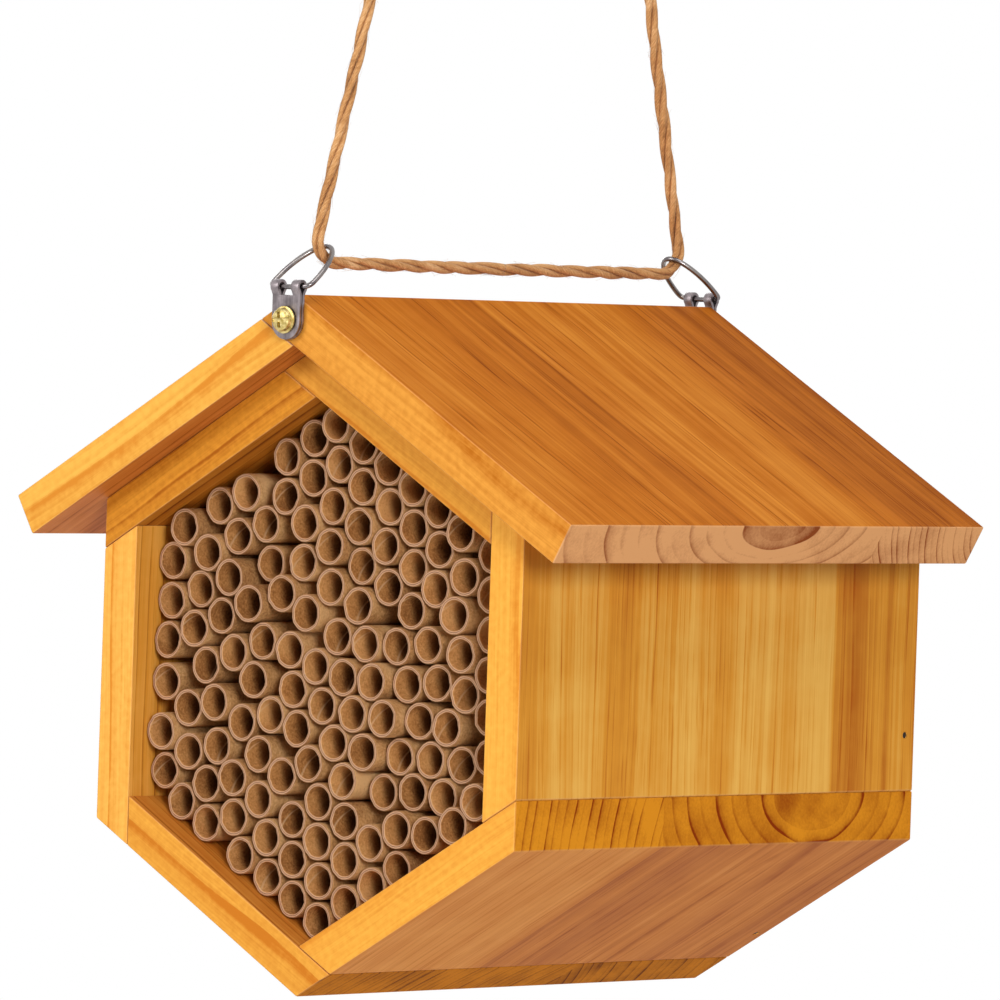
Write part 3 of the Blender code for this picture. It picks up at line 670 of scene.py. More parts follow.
def makeFir(board, angle):
    # Fir: growth rings 2 to 6 mm apart in each sawn stave, pale early wood that darkens to
    # a thin late wood line, fine fibre lines with the grain, satin from the oil
    look = firDefaults | firLooks[board]
    material, tree, shader = newMaterial("oiled_fir_" + board, {"Specular IOR Level": look["gloss"]})
    coords = addNode(tree, "ShaderNodeTexCoord", {})
    grain, place, swayed = grainPlace(tree, board, angle, coords)
    rings, darkness, past = countRings(tree, look, place, swayed)
    cloud = addNode(tree, "ShaderNodeTexNoise", {
        "Vector": place, "Scale": 55.0, "Detail": 3.0, "Roughness": 0.6})[0]
    cloud = addNode(tree, "ShaderNodeMath", {"operation": "SUBTRACT", 0: cloud, 1: 0.5})[0]
    late = lateWood(tree, look, rings, past, cloud)
    # fibres, wider stripes and pores, all drawn out along the grain
    fine = addNode(tree, "ShaderNodeVectorMath", {"operation": "MULTIPLY", 0: swayed, 1: (9, 800, 800)})[0]
    fibres = addNode(tree, "ShaderNodeTexNoise", {
        "Vector": fine, "Scale": 1.0, "Detail": 4.0, "Roughness": 0.7})[0]
    wide = addNode(tree, "ShaderNodeVectorMath", {"operation": "MULTIPLY", 0: swayed, 1: (3, 230, 160)})[0]
    stripes = addNode(tree, "ShaderNodeTexNoise", {
        "Vector": wide, "Scale": 1.0, "Detail": 3.0, "Roughness": 0.6})[0]
    slim = addNode(tree, "ShaderNodeVectorMath", {"operation": "MULTIPLY", 0: swayed, 1: (22, 1300, 900)})[0]
    pores = addNode(tree, "ShaderNodeTexNoise", {"Vector": slim, "Scale": 1.0, "Detail": 1.0})[0]
    pores = addNode(tree, "ShaderNodeMapRange", {0: pores, 1: 0.62, 2: 0.74})[0]
    # broad face, with its bands from front to rear
    along = addNode(tree, "ShaderNodeSeparateXYZ", {0: swayed})[1]
    share = addNode(tree, "ShaderNodeMapRange", {0: along, 1: houseFront, 2: houseRear})[0]
    band = addNode(tree, "ShaderNodeValToRGB", {0: share, "stops": look["bands"]})[0]
    tone = weighedSum(tree, 0.0, (late, look["ringShare"]), (fibres, 0.32), (stripes, look["streaks"]),
                      (cloud, 0.2), (pores, look["pores"]))
    faceTone = weighedSum(tree, tone, (band, 0.36), (darkness, 1.0))
    colour = addNode(tree, "ShaderNodeValToRGB", {
        0: faceTone, "stops": list(zip((0.30, 0.54, 0.86), look["face"]))})[0]
    # planed front and rear edges show the rings as lines
    mottle = addNode(tree, "ShaderNodeTexNoise", {"Vector": place, "Scale": 520.0, "Detail": 3.0})[0]
    edgeTone = addNode(tree, "ShaderNodeMix", {"data_type": "FLOAT", 0: 0.35, 2: fibres, 3: mottle})[0]
    edgeTone = weighedSum(tree, edgeTone, (late, 0.55), (stripes, 0.3))
    edge = addNode(tree, "ShaderNodeValToRGB", {
        0: edgeTone, "stops": list(zip((0.56, 0.98), look["edge"]))})[0]
    onY = addNode(tree, "ShaderNodeSeparateXYZ", {0: coords["Normal"]})[1]
    onY = addNode(tree, "ShaderNodeMath", {"operation": "ABSOLUTE", 0: onY})[0]
    onEdge = addNode(tree, "ShaderNodeMapRange", {
        0: onY, 1: 0.5, 2: 0.8, 3: 0.0, 4: 0.0 if board == "back" else 1.0})[0]
    colour = addNode(tree, "ShaderNodeMix", {"data_type": "RGBA", 0: onEdge, 6: colour, 7: edge})[2]
    # end grain: dark late wood arcs, dotted with cut fibres
    speck = addNode(tree, "ShaderNodeTexNoise", {"Vector": place, "Scale": 1400.0, "Detail": 2.0})[0]
    heart = addNode(tree, "ShaderNodeMapRange", {0: rings, 1: 0.7, 2: 1.05, 3: look["heart"], 4: 0.0})[0]
    endTone = weighedSum(tree, late, (speck, 0.35), (darkness, 1.0), (heart, 1.0), (cloud, 1.1))
    end = addNode(tree, "ShaderNodeValToRGB", {0: endTone, "stops": list(zip((0.1, 0.86), look["end"]))})[0]
    onGrain = addNode(tree, "ShaderNodeVectorMath", {
        "operation": "DOT_PRODUCT", 0: coords["Normal"], 1: grain})["Value"]
    onGrain = addNode(tree, "ShaderNodeMath", {"operation": "ABSOLUTE", 0: onGrain})[0]
    onEnd = addNode(tree, "ShaderNodeMapRange", {0: onGrain, 1: 0.35, 2: 0.65})[0]
    colour = addNode(tree, "ShaderNodeMix", {"data_type": "RGBA", 0: onEnd, 6: colour, 7: end})[2]
    # rounded arrises are mixed towards a pale colour: partly rubbed wear, partly a painted highlight where
    # light catches the rounding
    sideArrisWearAndHighlight = addNode(tree, "ShaderNodeValToRGB", {
        0: onY, "stops": [(0.12, 0.0), (0.3, 1.0), (0.85, 1.0), (0.97, 0.0)]})[0]
    endArrisWearAndHighlight = addNode(tree, "ShaderNodeValToRGB", {
        0: onGrain, "stops": [(0.1, 0.0), (0.25, 1.0), (0.7, 1.0), (0.82, 0.0)]})[0]
    arrisWearAndHighlight = addNode(tree, "ShaderNodeMath", {"operation": "MAXIMUM", 0: sideArrisWearAndHighlight, 1: endArrisWearAndHighlight})[0]
    arrisWearAndHighlight = addNode(tree, "ShaderNodeMath", {"operation": "MULTIPLY", 0: arrisWearAndHighlight, 1: 0.12})[0]
    colour = addNode(tree, "ShaderNodeMix", {
        "data_type": "RGBA", 0: arrisWearAndHighlight, 6: colour, 7: hexColour("F4CC98")})[2]
    # the end grain drinks the oil and stays matt
    rough = addNode(tree, "ShaderNodeMapRange", {0: tone, 1: 0.2, 2: 0.8, 3: 0.5, 4: 0.65})[0]
    rough = addNode(tree, "ShaderNodeMix", {"data_type": "FLOAT", 0: onEnd, 2: rough, 3: 0.9})[0]
    bump = addNode(tree, "ShaderNodeBump", {"Height": tone, "Strength": 0.3, "Distance": 0.0001})[0]
    linkShader(tree, shader, {"Base Color": colour, "Roughness": rough, "Normal": bump})
    return material


def directionAt(angle):
    return Vector((math.cos(math.radians(angle)), 0, math.sin(math.radians(angle))))


# A board from its inner and outer side, cut by planes and softly rounded
def makeBoard(angle, sides, depths, reach, cuts, nail=None):
    inner, outer = sides
    front, rear = depths
    low, high = reach
    normal = directionAt(angle)
    along = directionAt(angle + 90)
    middle = Vector((0, 0, houseMiddle.z)) + normal * (inner + outer) / 2 + along * (low + high) / 2
    middle.y = (front + rear) / 2
    turn = (0, math.radians(90 - angle), 0)
    deselectAll()
    bpy.ops.mesh.primitive_cube_add(size=1, location=middle, rotation=turn,
                                    scale=(high - low, rear - front, outer - inner))
    board = bpy.context.object
    settlePlace(board)
    startEdit(board)
    for cutAngle, distance in cuts:
        facing = directionAt(cutAngle)
        place = Vector((0, 0, houseMiddle.z)) + facing * distance
        cutPlane(place, facing, use_fill=True, clear_outer=True)
    faceOutward()
    endEdit()
    softenEdges(board, walls["edgeRound"], 2, 25)
    if nail:
        bpy.ops.mesh.primitive_cylinder_add(vertices=12, radius=nailHole["radius"], depth=nailHole["depth"],
                                            location=nail, rotation=turn)
        cutAway(board, [bpy.context.object])
    finishBoard(board)
    return board


def finishBoard(board):
    smoothFaces(board, 50)
    applyModifier(board, "WEIGHTED_NORMAL", {"keep_sharp": True})


def makeWalls():
    sides = (walls["innerSide"], walls["outerSide"])
    for name, angle in walls["angles"].items():
        normal = directionAt(angle)
        nail = Vector((0, houseRear - nailHole["fromRear"], houseMiddle.z)) + normal * walls["outerSide"]
        nail -= normal.cross(Vector((0, 1, 0))) * nailHole["fromMiddle"]
        cuts = [(angle + 60, walls["outerSide"]), (angle - 60, walls["innerSide"] - walls["joint"])]
        reach = (-walls["halfBlank"], walls["halfBlank"])
        board = makeBoard(angle, sides, (houseFront, houseRear), reach, cuts, nail)
        fir = makeFir(name, angle)
        finishPiece(board, name + "_board", fir, "house", [name + "_wall"])


# The right slope runs through to the ridge, and the left one ends at the wall beneath it
def makeRoof():
    ridge = roof["top"] / math.cos(math.radians(30))
    eave = roof["slopeLength"] - ridge * math.sin(math.radians(30))
    slopes = {
        "right": (60, (-eave, roof["pastRidge"]), (120, roof["top"])),
        "left": (120, (-roof["pastRidge"], eave), (60, walls["outerSide"])),
    }
    for side, (angle, reach, cut) in slopes.items():
        depths = (-roof["halfDepth"], roof["halfDepth"])
        board = makeBoard(angle, (roof["underside"], roof["top"]), depths, reach, [cut])
        fir = makeFir(side + "_roof", angle)
        finishPiece(board, side + "_roof_slope", fir, "house", [side + "_roof_board"])


def makePanel():
    side = walls["innerSide"] - panel["gap"]
    deselectAll()
    bpy.ops.mesh.primitive_cylinder_add(
        vertices=6, radius=side / math.cos(math.radians(30)), depth=panel["thickness"],
        location=(0, houseRear - panel["thickness"] / 2, houseMiddle.z), rotation=(math.radians(90), 0, 0))
    back = bpy.context.object
    settlePlace(back)
    softenEdges(back, panel["edgeRound"], 3, 25)
    finishBoard(back)
    finishPiece(back, "closing_panel", makeFir("back", 0), "house", ["back_panel"])


makeWalls()
makeRoof()
makePanel()
print("boards made")


# Steel and brass

# Each metal's tone and roughness vary with a soft cloud
metalLooks = {
    # Zinc plated mild steel, stamped: dull grey with soft roll marks and small dark scuffs
    "strip": {"name": "zinc_plated_strip", "scale": 420.0, "detail": 3.0,
              "tones": [(0.35, "756C6E"), (0.6, "988E90")], "rough": (0.34, 0.52), "rolled": True},
    # Drawn steel wire, plated: smoother and darker than the strip, faintly clouded
    "wire": {"name": "drawn_steel_wire", "scale": 240.0, "detail": 2.0,
             "tones": [(0.35, "6C6668"), (0.62, "88827F")], "rough": (0.2, 0.34), "rolled": False},
    # Brass plated screw steel: warm yellow, paler where it is worn
    "screw": {"name": "brass_plated_screw", "scale": 900.0, "detail": 3.0,
              "tones": [(0.35, "A9924C"), (0.62, "D9C689")], "rough": (0.34, 0.5), "rolled": False},
}


def makeMetal(look):
    material, tree, shader = newMaterial(look["name"], {"Metallic": 1.0})
    place = addNode(tree, "ShaderNodeTexCoord", {})["Object"]
    tone = cloud = addNode(tree, "ShaderNodeTexNoise", {
        "Vector": place, "Scale": look["scale"], "Detail": look["detail"]})[0]
    if look["rolled"]:
        drawn = addNode(tree, "ShaderNodeVectorMath", {
            "operation": "MULTIPLY", 0: place, 1: (1800, 1800, 90)})[0]
        marks = addNode(tree, "ShaderNodeTexNoise", {"Vector": drawn, "Scale": 1.0, "Detail": 2.0})[0]
        tone = addNode(tree, "ShaderNodeMix", {"data_type": "FLOAT", 0: 0.6, 2: marks, 3: cloud})[0]
        bump = addNode(tree, "ShaderNodeBump", {"Height": tone, "Strength": 0.25, "Distance": 0.00005})[0]
        linkShader(tree, shader, {"Normal": bump})
    rough = addNode(tree, "ShaderNodeMapRange", {
        0: cloud, 1: 0.35, 2: 0.65, 3: look["rough"][0], 4: look["rough"][1]})[0]
    colour = addNode(tree, "ShaderNodeValToRGB", {0: tone, "stops": look["tones"]})[0]
    linkShader(tree, shader, {"Base Color": colour, "Roughness": rough})
    return material


metals = {kind: makeMetal(look) for kind, look in metalLooks.items()}
# Steel brads, driven and left bare: nearly black
bradLook = {"Metallic": 1.0, "Base Color": hexColour("3C3431"), "Roughness": 0.6}
metals["brad"] = newMaterial("dark_steel_brad", bradLook)[0]

strap = {
    "width": 0.0094, "sheet": 0.0008, "layerOffset": 0.0005, "foldRadius": 0.00145, "drop": 0.0134,
    "bendDrop": 0.0021, "knuckle": 0.0025, "windowDrop": 0.0021,
}
# The roundness is a Bezier handle's length by the radius of its quarter circle, and the two
# shares draw the bar's handles nearly to its corners
ring = {
    "wire": 0.00068, "halfWidth": 0.0067, "shoulder": 0.0030, "reach": 0.0172, "lean": 37.5,
    "roundness": 0.5523, "barShare": 0.93, "footShare": 0.9,
}
# The dome's steps: how far out and how much narrower
screw = {
    "drop": 0.0084, "head": 0.0035, "height": 0.0023, "rim": 0.0005, "standOff": 0.0003,
    "dome": [(0.0012, 0.94), (0.0004, 0.84), (0.0002, 0.66)],
    "shank": 0.0018, "shankLength": 0.012, "pointLength": 0.0025,
    "slots": [(0.0056, 0.0010), (0.0010, 0.0056 * 0.72)], "slotDepth": 0.0010,
}


# Strip folded over the bar, drawn round the bar's middle at the origin, facing -Y
def makeStrap(end, hanger):
    half = strap["width"] / 2
    foot, drop = -strap["bendDrop"], -strap["drop"]
    deselectAll()
    middle = (0, -strap["layerOffset"], (foot + drop) / 2)
    upright = (math.radians(90), 0, 0)
    bpy.ops.mesh.primitive_plane_add(size=strap["width"], rotation=upright, location=middle)
    piece = bpy.context.object
    settlePlace(piece)
    startEdit(piece)
    bpy.ops.transform.resize(value=(1, 1, (foot - drop) / strap["width"]), center_override=middle)
    # up to the bar, round it and down again behind
    leave = strap["foldRadius"] * math.sqrt(0.5)
    selectWhere(piece, "vertices", lambda c: c.z > foot - 0.0001)
    extrudeBy((0, strap["layerOffset"] - leave, -leave - foot))
    bpy.ops.mesh.spin(steps=14, angle=math.radians(270), center=(0, 0, 0), axis=(1, 0, 0))
    extrudeBy((0, strap["layerOffset"] - leave, foot + leave))
    extrudeBy((0, 0, drop - foot))
    selectWhere(piece, "vertices", lambda c: c.z < drop + 0.0001)
    bpy.ops.mesh.bevel(affect="VERTICES", offset=half * 0.99, segments=10)
    # the window between the knuckles
    inner = half - strap["knuckle"]
    for place, normal in (((-inner, 0, 0), (1, 0, 0)), ((inner, 0, 0), (1, 0, 0)),
                          ((0, 0, -strap["windowDrop"]), (0, 0, 1))):
        cutPlane(place, normal)
    mergeDoubles()
    selectWhere(piece, "polygons", lambda c: abs(c.x) < inner and c.z > -strap["windowDrop"])
    bpy.ops.mesh.delete(type="FACE")
    faceOutward()
    endEdit()
    applyModifier(piece, "SOLIDIFY", {"thickness": strap["sheet"], "offset": 0.0, "use_even_offset": True})
    softenEdges(piece, 0.00012, 2, 40)
    startEdit(piece)
    faceOutward()
    endEdit()
    bpy.ops.object.shade_smooth_by_angle(angle=math.radians(35))
    placeHanger(piece, hanger)
    finishPiece(piece, end + "_folded_strap", metals["strip"], "house",
                [end + "_hanger_strap"])


# Turns a rear fitting round and carries it from the origin to its bar
def placeHanger(piece, hanger):
    piece.rotation_euler = (0, 0, 0 if hanger["facing"] < 0 else math.pi)
    piece.location = (hanger["x"], hanger["y"], barHeight)
    settlePlace(piece)


# Wire bent to a D with a long round bow, its bar along X through the origin
def makeRing(end, hanger):
    deselectAll()
    bpy.ops.curve.primitive_bezier_circle_add(
        radius=ring["halfWidth"], rotation=(math.radians(90), 0, 0), location=(0, 0, ring["shoulder"]))
    piece = bpy.context.object
    bend = piece.data
    bow = ring["reach"] - ring["shoulder"]
    # the circle's four points become the bow's top, the two shoulders and the middle of the bar
    for point in bend.splines[0].bezier_points:
        point.handle_left_type = point.handle_right_type = "FREE"
        onTop, onShoulder = point.co.y > 0, abs(point.co.x) >= 0.0001
        if not onShoulder:
            point.co.y = bow if onTop else -ring["shoulder"]
        for side in (point.handle_left, point.handle_right):
            if onShoulder:
                side.y = ring["roundness"] * bow if side.y > 0 else -ring["shoulder"] * ring["footShare"]
                side.x = point.co.x
            else:
                way = 1 if side.x > 0 else -1
                side.y = point.co.y
                side.x = way * ring["halfWidth"] * (ring["roundness"] if onTop else ring["barShare"])
    bend.resolution_u = 20
    bend.bevel_depth = ring["wire"]
    bend.bevel_resolution = 5
    makeActive(piece)
    bpy.ops.object.convert(target="MESH")
    piece = bpy.context.object
    settlePlace(piece)
    startEdit(piece)
    mergeDoubles()
    faceOutward()
    endEdit()
    bpy.ops.object.shade_smooth()
    piece.rotation_euler = (math.radians(ring["lean"] - 90), 0, 0)
    settlePlace(piece)
    placeHanger(piece, hanger)
    finishPiece(piece, end + "_wire_ring", metals["wire"], end + "_ring",
                [end + "_hanger_ring"])


# Pan head on a thin flange, with a cross recess, facing -Y from the strap's face
def makeScrew(end, hanger):
    deselectAll()
    seat = -(strap["layerOffset"] + strap["sheet"] / 2 + screw["standOff"])
    front = seat - screw["height"]
    centre = (0, front, -screw["drop"])
    bpy.ops.mesh.primitive_cylinder_add(
        vertices=32, radius=screw["head"], depth=screw["height"], rotation=(math.radians(90), 0, 0),
        location=(0, seat - screw["height"] / 2, -screw["drop"]))
    piece = bpy.context.object
    settlePlace(piece)
    startEdit(piece)
    selectWhere(piece, "polygons", lambda c: c.y < front + 0.00005)
    bpy.ops.transform.translate(value=(0, screw["height"] - screw["rim"], 0))
    bpy.ops.mesh.inset(thickness=screw["rim"])
    for rise, narrowing in screw["dome"]:
        extrudeBy((0, -rise, 0))
        bpy.ops.transform.resize(value=(narrowing, 1, narrowing), center_override=centre)
    selectWhere(piece, "polygons", lambda c: c.y > seat - 0.00005)
    bpy.ops.mesh.inset(thickness=screw["head"] - screw["shank"])
    extrudeBy((0, screw["shankLength"], 0))
    extrudeBy((0, screw["pointLength"], 0))
    bpy.ops.transform.resize(value=(0.15, 1, 0.15), center_override=(0, 0, -screw["drop"]))
    faceOutward()
    endEdit()
    cutters = []
    turn = (0, math.radians(hanger["facing"] * 4), 0)
    for across, up in screw["slots"]:
        bpy.ops.mesh.primitive_cube_add(
            size=1, scale=(across, screw["slotDepth"] * 2, up), location=centre, rotation=turn)
        cutters.append(bpy.context.object)
    softenEdges(piece, 0.00012, 2, 28)
    cutAway(piece, cutters)
    smoothFaces(piece, 35)
    placeHanger(piece, hanger)
    finishPiece(piece, end + "_brass_screw", metals["screw"], "house",
                [end + "_hanger_screw"])


for end, hanger in hangers.items():
    makeStrap(end, hanger)
    makeRing(end, hanger)
    makeScrew(end, hanger)

for wall in walls["angles"]:
    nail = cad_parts["nail_" + wall + "_wall"]
    nail.data.materials.clear()
    nail.data.materials.append(metals["brad"])
print("hangers made")


# Tubes: spirally wound card, packed loose, their fronts unevenly deep

tube = {
    "pitch": 0.0101006, "radius": 0.0049, "bore": 0.00395, "length": 0.1383, "sides": 24,
    "recessStep": 0.0005, "rimRound": 0.00016, "oval": 0.028, "tilt": 0.03, "nicks": 0.0004,
    "nickDepth": 0.003,
}

# Each bundle's tubes: place across and up in pitches from the house's middle, and steps back
tubeBundles = [
    [(-4.692, -1.152, 15), (-5.465, -0.515, 15), (-5.465, 0.549, 15), (-5.465, 1.550, 17)],
    [(-4.801, -3.538, 15), (-5.465, -2.789, 16), (-5.465, -1.788, 12), (-4.580, -2.255, 14)],
    [(-4.522, 1.885, 18), (-4.181, 2.826, 15), (-4.972, 3.440, 14), (-5.465, 2.568, 17)],
    [(-4.123, -0.034, 15), (-4.522, 0.884, 14), (-3.590, 1.250, 14), (-3.378, 2.229, 14)],
    [(-3.934, -4.039, 15), (-3.934, -3.038, 14), (-2.954, -2.834, 12), (-3.597, -2.066, 14)],
    [(-3.289, 3.280, 18), (-2.350, 3.625, 18), (-3.954, 4.027, 18), (-3.021, 4.398, 17)],
    [(-2.431, -0.319, 14), (-2.247, 0.665, 16), (-2.597, 1.603, 12), (-3.191, 0.332, 15)],
    [(-1.317, -2.695, 13), (-2.184, -2.195, 14), (-2.826, -1.427, 15), (-3.710, -0.958, 13)],
    [(-1.774, -4.285, 13), (-0.914, -3.773, 13), (-2.088, -3.334, 13), (-2.954, -3.835, 14)],
    [(-0.719, 1.443, 14), (-1.609, 1.901, 15), (-2.300, 2.625, 22), (-0.994, 2.712, 17)],
    [(-0.041, -6.287, 15), (-0.907, -5.787, 15), (-1.774, -5.286, 15), (-2.641, -4.786, 13)],
    [(-0.901, -1.479, 14), (-1.120, -0.502, 15), (-1.856, -1.180, 15), (-1.262, 0.489, 15)],
    [(-0.893, 3.708, 15), (-1.660, 4.351, 17), (-0.793, 4.851, 18), (-0.005, 4.169, 16)],
    [(0.132, 5.233, 17), (0.132, 6.234, 13), (-0.793, 5.852, 18), (-1.660, 5.352, 17)],
    [(-0.383, -2.335, 12), (0.443, -1.770, 12), (-0.022, -0.861, 13), (-0.333, 0.117, 14)],
    [(-0.037, -5.279, 15), (-0.907, -4.786, 14), (-0.044, -4.278, 13), (0.858, -4.711, 14)],
    [(0.004, 2.135, 16), (0.020, 3.157, 14), (0.912, 2.703, 19)],
    [(0.858, -3.710, 13), (-0.045, -3.277, 13), (0.781, -2.712, 12), (1.428, -1.948, 12)],
    [(1.641, -0.171, 12), (1.283, 0.764, 15), (0.642, -0.110, 13), (0.291, 0.899, 16)],
    [(0.907, 1.702, 17), (1.783, 2.208, 20), (1.767, 3.236, 17), (0.881, 3.703, 16)],
    [(1.865, 4.232, 17), (1.865, 5.233, 15), (0.999, 5.734, 15), (0.980, 4.699, 16)],
    [(0.826, -5.787, 16), (1.699, -5.297, 16), (2.580, -4.821, 15), (1.725, -4.210, 13)],
    [(3.089, -1.082, 17), (2.089, -1.066, 11), (1.089, -1.006, 11), (2.642, -0.187, 17)],
    [(1.874, -2.929, 19), (2.943, -2.866, 17), (2.427, -2.008, 18), (3.495, -2.031, 17)],
    [(2.633, 2.736, 19), (2.732, 3.732, 16), (2.732, 4.733, 14), (3.599, 4.232, 14)],
    [(2.284, 0.748, 16), (2.695, 1.660, 17), (3.510, 2.243, 16), (3.654, 3.233, 15)],
    [(4.084, -1.191, 15), (4.612, -0.340, 16), (3.640, -0.103, 17), (3.281, 0.832, 17)],
    [(3.646, -3.896, 11), (2.648, -3.822, 12), (4.692, -3.602, 8), (5.465, -2.966, 6)],
    [(3.941, -2.940, 17), (4.493, -2.105, 18), (5.465, -1.865, 16), (5.465, -0.864, 15)],
    [(5.465, 0.183, 14), (5.438, 1.184, 15), (4.585, 0.660, 12), (4.291, 1.617, 13)],
    [(5.465, 2.185, 14), (5.415, 3.184, 15), (4.548, 3.685, 10), (4.547, 2.585, 14)],
]


def makeCard():
    # Kraft card wound in a spiral: matt brown paper, fine fibres, a seam that climbs the bore,
    # paper layers as thin rings in the cut rim
    material, tree, shader = newMaterial("wound_kraft_card", {"Roughness": 0.9, "Specular IOR Level": 0.15})
    card = addNode(tree, "ShaderNodeUVMap", {"uv_map": "card"})[0]
    parts = addNode(tree, "ShaderNodeSeparateXYZ", {0: card})
    wallPlace = addNode(tree, "ShaderNodeAttribute", {"attribute_name": "wallPlace"})["Fac"]
    toneValue = addNode(tree, "ShaderNodeAttribute", {"attribute_name": "tubeTone"})["Fac"]
    place = addNode(tree, "ShaderNodeTexCoord", {})["Object"]
    # seam: one line each 28 mm of the bore, about 0.4 mm wide
    climb = addNode(tree, "ShaderNodeMath", {
        "operation": "MULTIPLY_ADD", 0: parts[1], 1: 1 / 0.028, 2: parts[0]})[0]
    climb = addNode(tree, "ShaderNodeMath", {"operation": "ADD", 0: climb, 1: toneValue})[0]
    climb = addNode(tree, "ShaderNodeMath", {"operation": "FRACT", 0: climb})[0]
    seam = addNode(tree, "ShaderNodeValToRGB", {
        0: climb, "stops": [
            (0.0, 0.0), (0.47, 0.0), (0.488, 1.0), (0.503, 1.0), (0.51, 0.0), (1.0, 0.0)]})[0]
    fibres = addNode(tree, "ShaderNodeTexNoise", {
        "Vector": place, "Scale": 1500.0, "Detail": 3.0, "Roughness": 0.7})[0]
    cloud = addNode(tree, "ShaderNodeTexNoise", {"Vector": place, "Scale": 110.0, "Detail": 2.0})[0]
    tone = addNode(tree, "ShaderNodeMix", {"data_type": "FLOAT", 0: 0.45, 2: fibres, 3: cloud})[0]
    tone = addNode(tree, "ShaderNodeMath", {"operation": "MULTIPLY_ADD", 0: toneValue, 1: 0.16, 2: tone})[0]
    paper = addNode(tree, "ShaderNodeValToRGB", {
        0: tone, "stops": [(0.41, "8C6038"), (0.55, "BA8A56"), (0.71, "D8AC76")]})[0]
    inside = addNode(tree, "ShaderNodeMapRange", {0: wallPlace, 1: 0.06, 2: 0.02})[0]
    seamShare = addNode(tree, "ShaderNodeMath", {"operation": "MULTIPLY", 0: seam, 1: inside})[0]
    seamShare = addNode(tree, "ShaderNodeMath", {"operation": "MULTIPLY", 0: seamShare, 1: 0.55})[0]
    bore = addNode(tree, "ShaderNodeMix", {
        "data_type": "RGBA", "blend_type": "MULTIPLY", 0: inside, 6: paper, 7: hexColour("FFF0DC")})[2]
    # painted shade: the card deep in a bore is darkened towards dark brown, where light would hardly reach
    shade = addNode(tree, "ShaderNodeMapRange", {0: parts[1], 1: 0.0035, 2: 0.0085, 3: 0.0, 4: 0.75})[0]
    shade = addNode(tree, "ShaderNodeMath", {"operation": "MULTIPLY", 0: shade, 1: inside})[0]
    bore = addNode(tree, "ShaderNodeMix", {
        "data_type": "RGBA", "blend_type": "MULTIPLY", 0: shade, 6: bore, 7: hexColour("4A2C18")})[2]
    colour = addNode(tree, "ShaderNodeMix", {
        "data_type": "RGBA", 0: seamShare, 6: bore, 7: hexColour("DDB98C")})[2]
    # cut rim: layers of paper that part into two pale rings, as coarse as they need to show
    rim = addNode(tree, "ShaderNodeMapRange", {0: wallPlace, 1: 0.02, 2: 0.12})[0]
    rimOut = addNode(tree, "ShaderNodeMapRange", {0: wallPlace, 1: 0.98, 2: 0.88})[0]
    onRim = addNode(tree, "ShaderNodeMath", {"operation": "MULTIPLY", 0: rim, 1: rimOut})[0]
    ripple = addNode(tree, "ShaderNodeMath", {
        "operation": "MULTIPLY_ADD", 0: fibres, 1: 0.2, 2: wallPlace})[0]
    layers = addNode(tree, "ShaderNodeMath", {"operation": "MULTIPLY", 0: ripple, 1: 2.0 * 2 * math.pi})[0]
    layers = addNode(tree, "ShaderNodeMath", {"operation": "COSINE", 0: layers})[0]
    layers = addNode(tree, "ShaderNodeMapRange", {0: layers, 1: 1.0, 2: -1.0})[0]
    rimColour = addNode(tree, "ShaderNodeValToRGB", {
        0: layers, "stops": [(0.0, "7E563C"), (0.5, "AE8262"), (1.0, "D1A785")]})[0]
    colour = addNode(tree, "ShaderNodeMix", {"data_type": "RGBA", 0: onRim, 6: colour, 7: rimColour})[2]
    bump = addNode(tree, "ShaderNodeBump", {"Height": fibres, "Strength": 0.4, "Distance": 0.00012})[0]
    linkShader(tree, shader, {"Base Color": colour, "Normal": bump})
    return material


# One tube with its front at the origin, running back along +Y
def makeTubeTemplate():
    deselectAll()
    middle = tube["length"] / 2
    bpy.ops.mesh.primitive_cylinder_add(vertices=tube["sides"], radius=tube["radius"], depth=tube["length"],
                                        location=(0, middle, 0), rotation=(math.radians(-90), 0, 0))
    piece = bpy.context.object
    settlePlace(piece)
    startEdit(piece)
    selectWhere(piece, "polygons", lambda c: abs(abs(c.y - middle) - middle) < 0.0001)
    bpy.ops.mesh.inset(thickness=tube["radius"] - tube["bore"])
    bpy.ops.mesh.delete(type="FACE")
    selectWhere(piece, "vertices", lambda c: math.hypot(c.x, c.z) < (tube["bore"] + tube["radius"]) / 2)
    bpy.ops.mesh.bridge_edge_loops()
    faceOutward()
    endEdit()
    softenEdges(piece, tube["rimRound"], 1, 60)
    # two rings of corners behind the front let the rim be nicked without bending the tube
    startEdit(piece)
    for back in (tube["nickDepth"], 0.02):
        cutPlane((0, back, 0), (0, 1, 0))
    endEdit()
    bpy.ops.object.shade_smooth_by_angle(angle=math.radians(40))
    markCard(piece.data)
    return piece


# How far through the wall each corner lies, and turns round and metres along as coordinates
def markCard(mesh):
    place = mesh.attributes.new("wallPlace", "FLOAT", "POINT")
    for i, v in enumerate(mesh.vertices):
        share = (math.hypot(v.co.x, v.co.z) - tube["bore"]) / (tube["radius"] - tube["bore"])
        place.data[i].value = min(max(share, 0.0), 1.0)
    for layer in list(mesh.uv_layers):
        mesh.uv_layers.remove(layer)
    layer = mesh.uv_layers.new(name="card")
    for face in mesh.polygons:
        turns = []
        for index in face.loop_indices:
            co = mesh.vertices[mesh.loops[index].vertex_index].co
            turns.append((math.atan2(co.z, co.x) / (2 * math.pi), co.y))
        for index, (turn, along) in zip(face.loop_indices, turns):
            if turns[0][0] - turn > 0.5:
                turn += 1
            elif turn - turns[0][0] > 0.5:
                turn -= 1
            layer.data[index].uv = (turn, along)


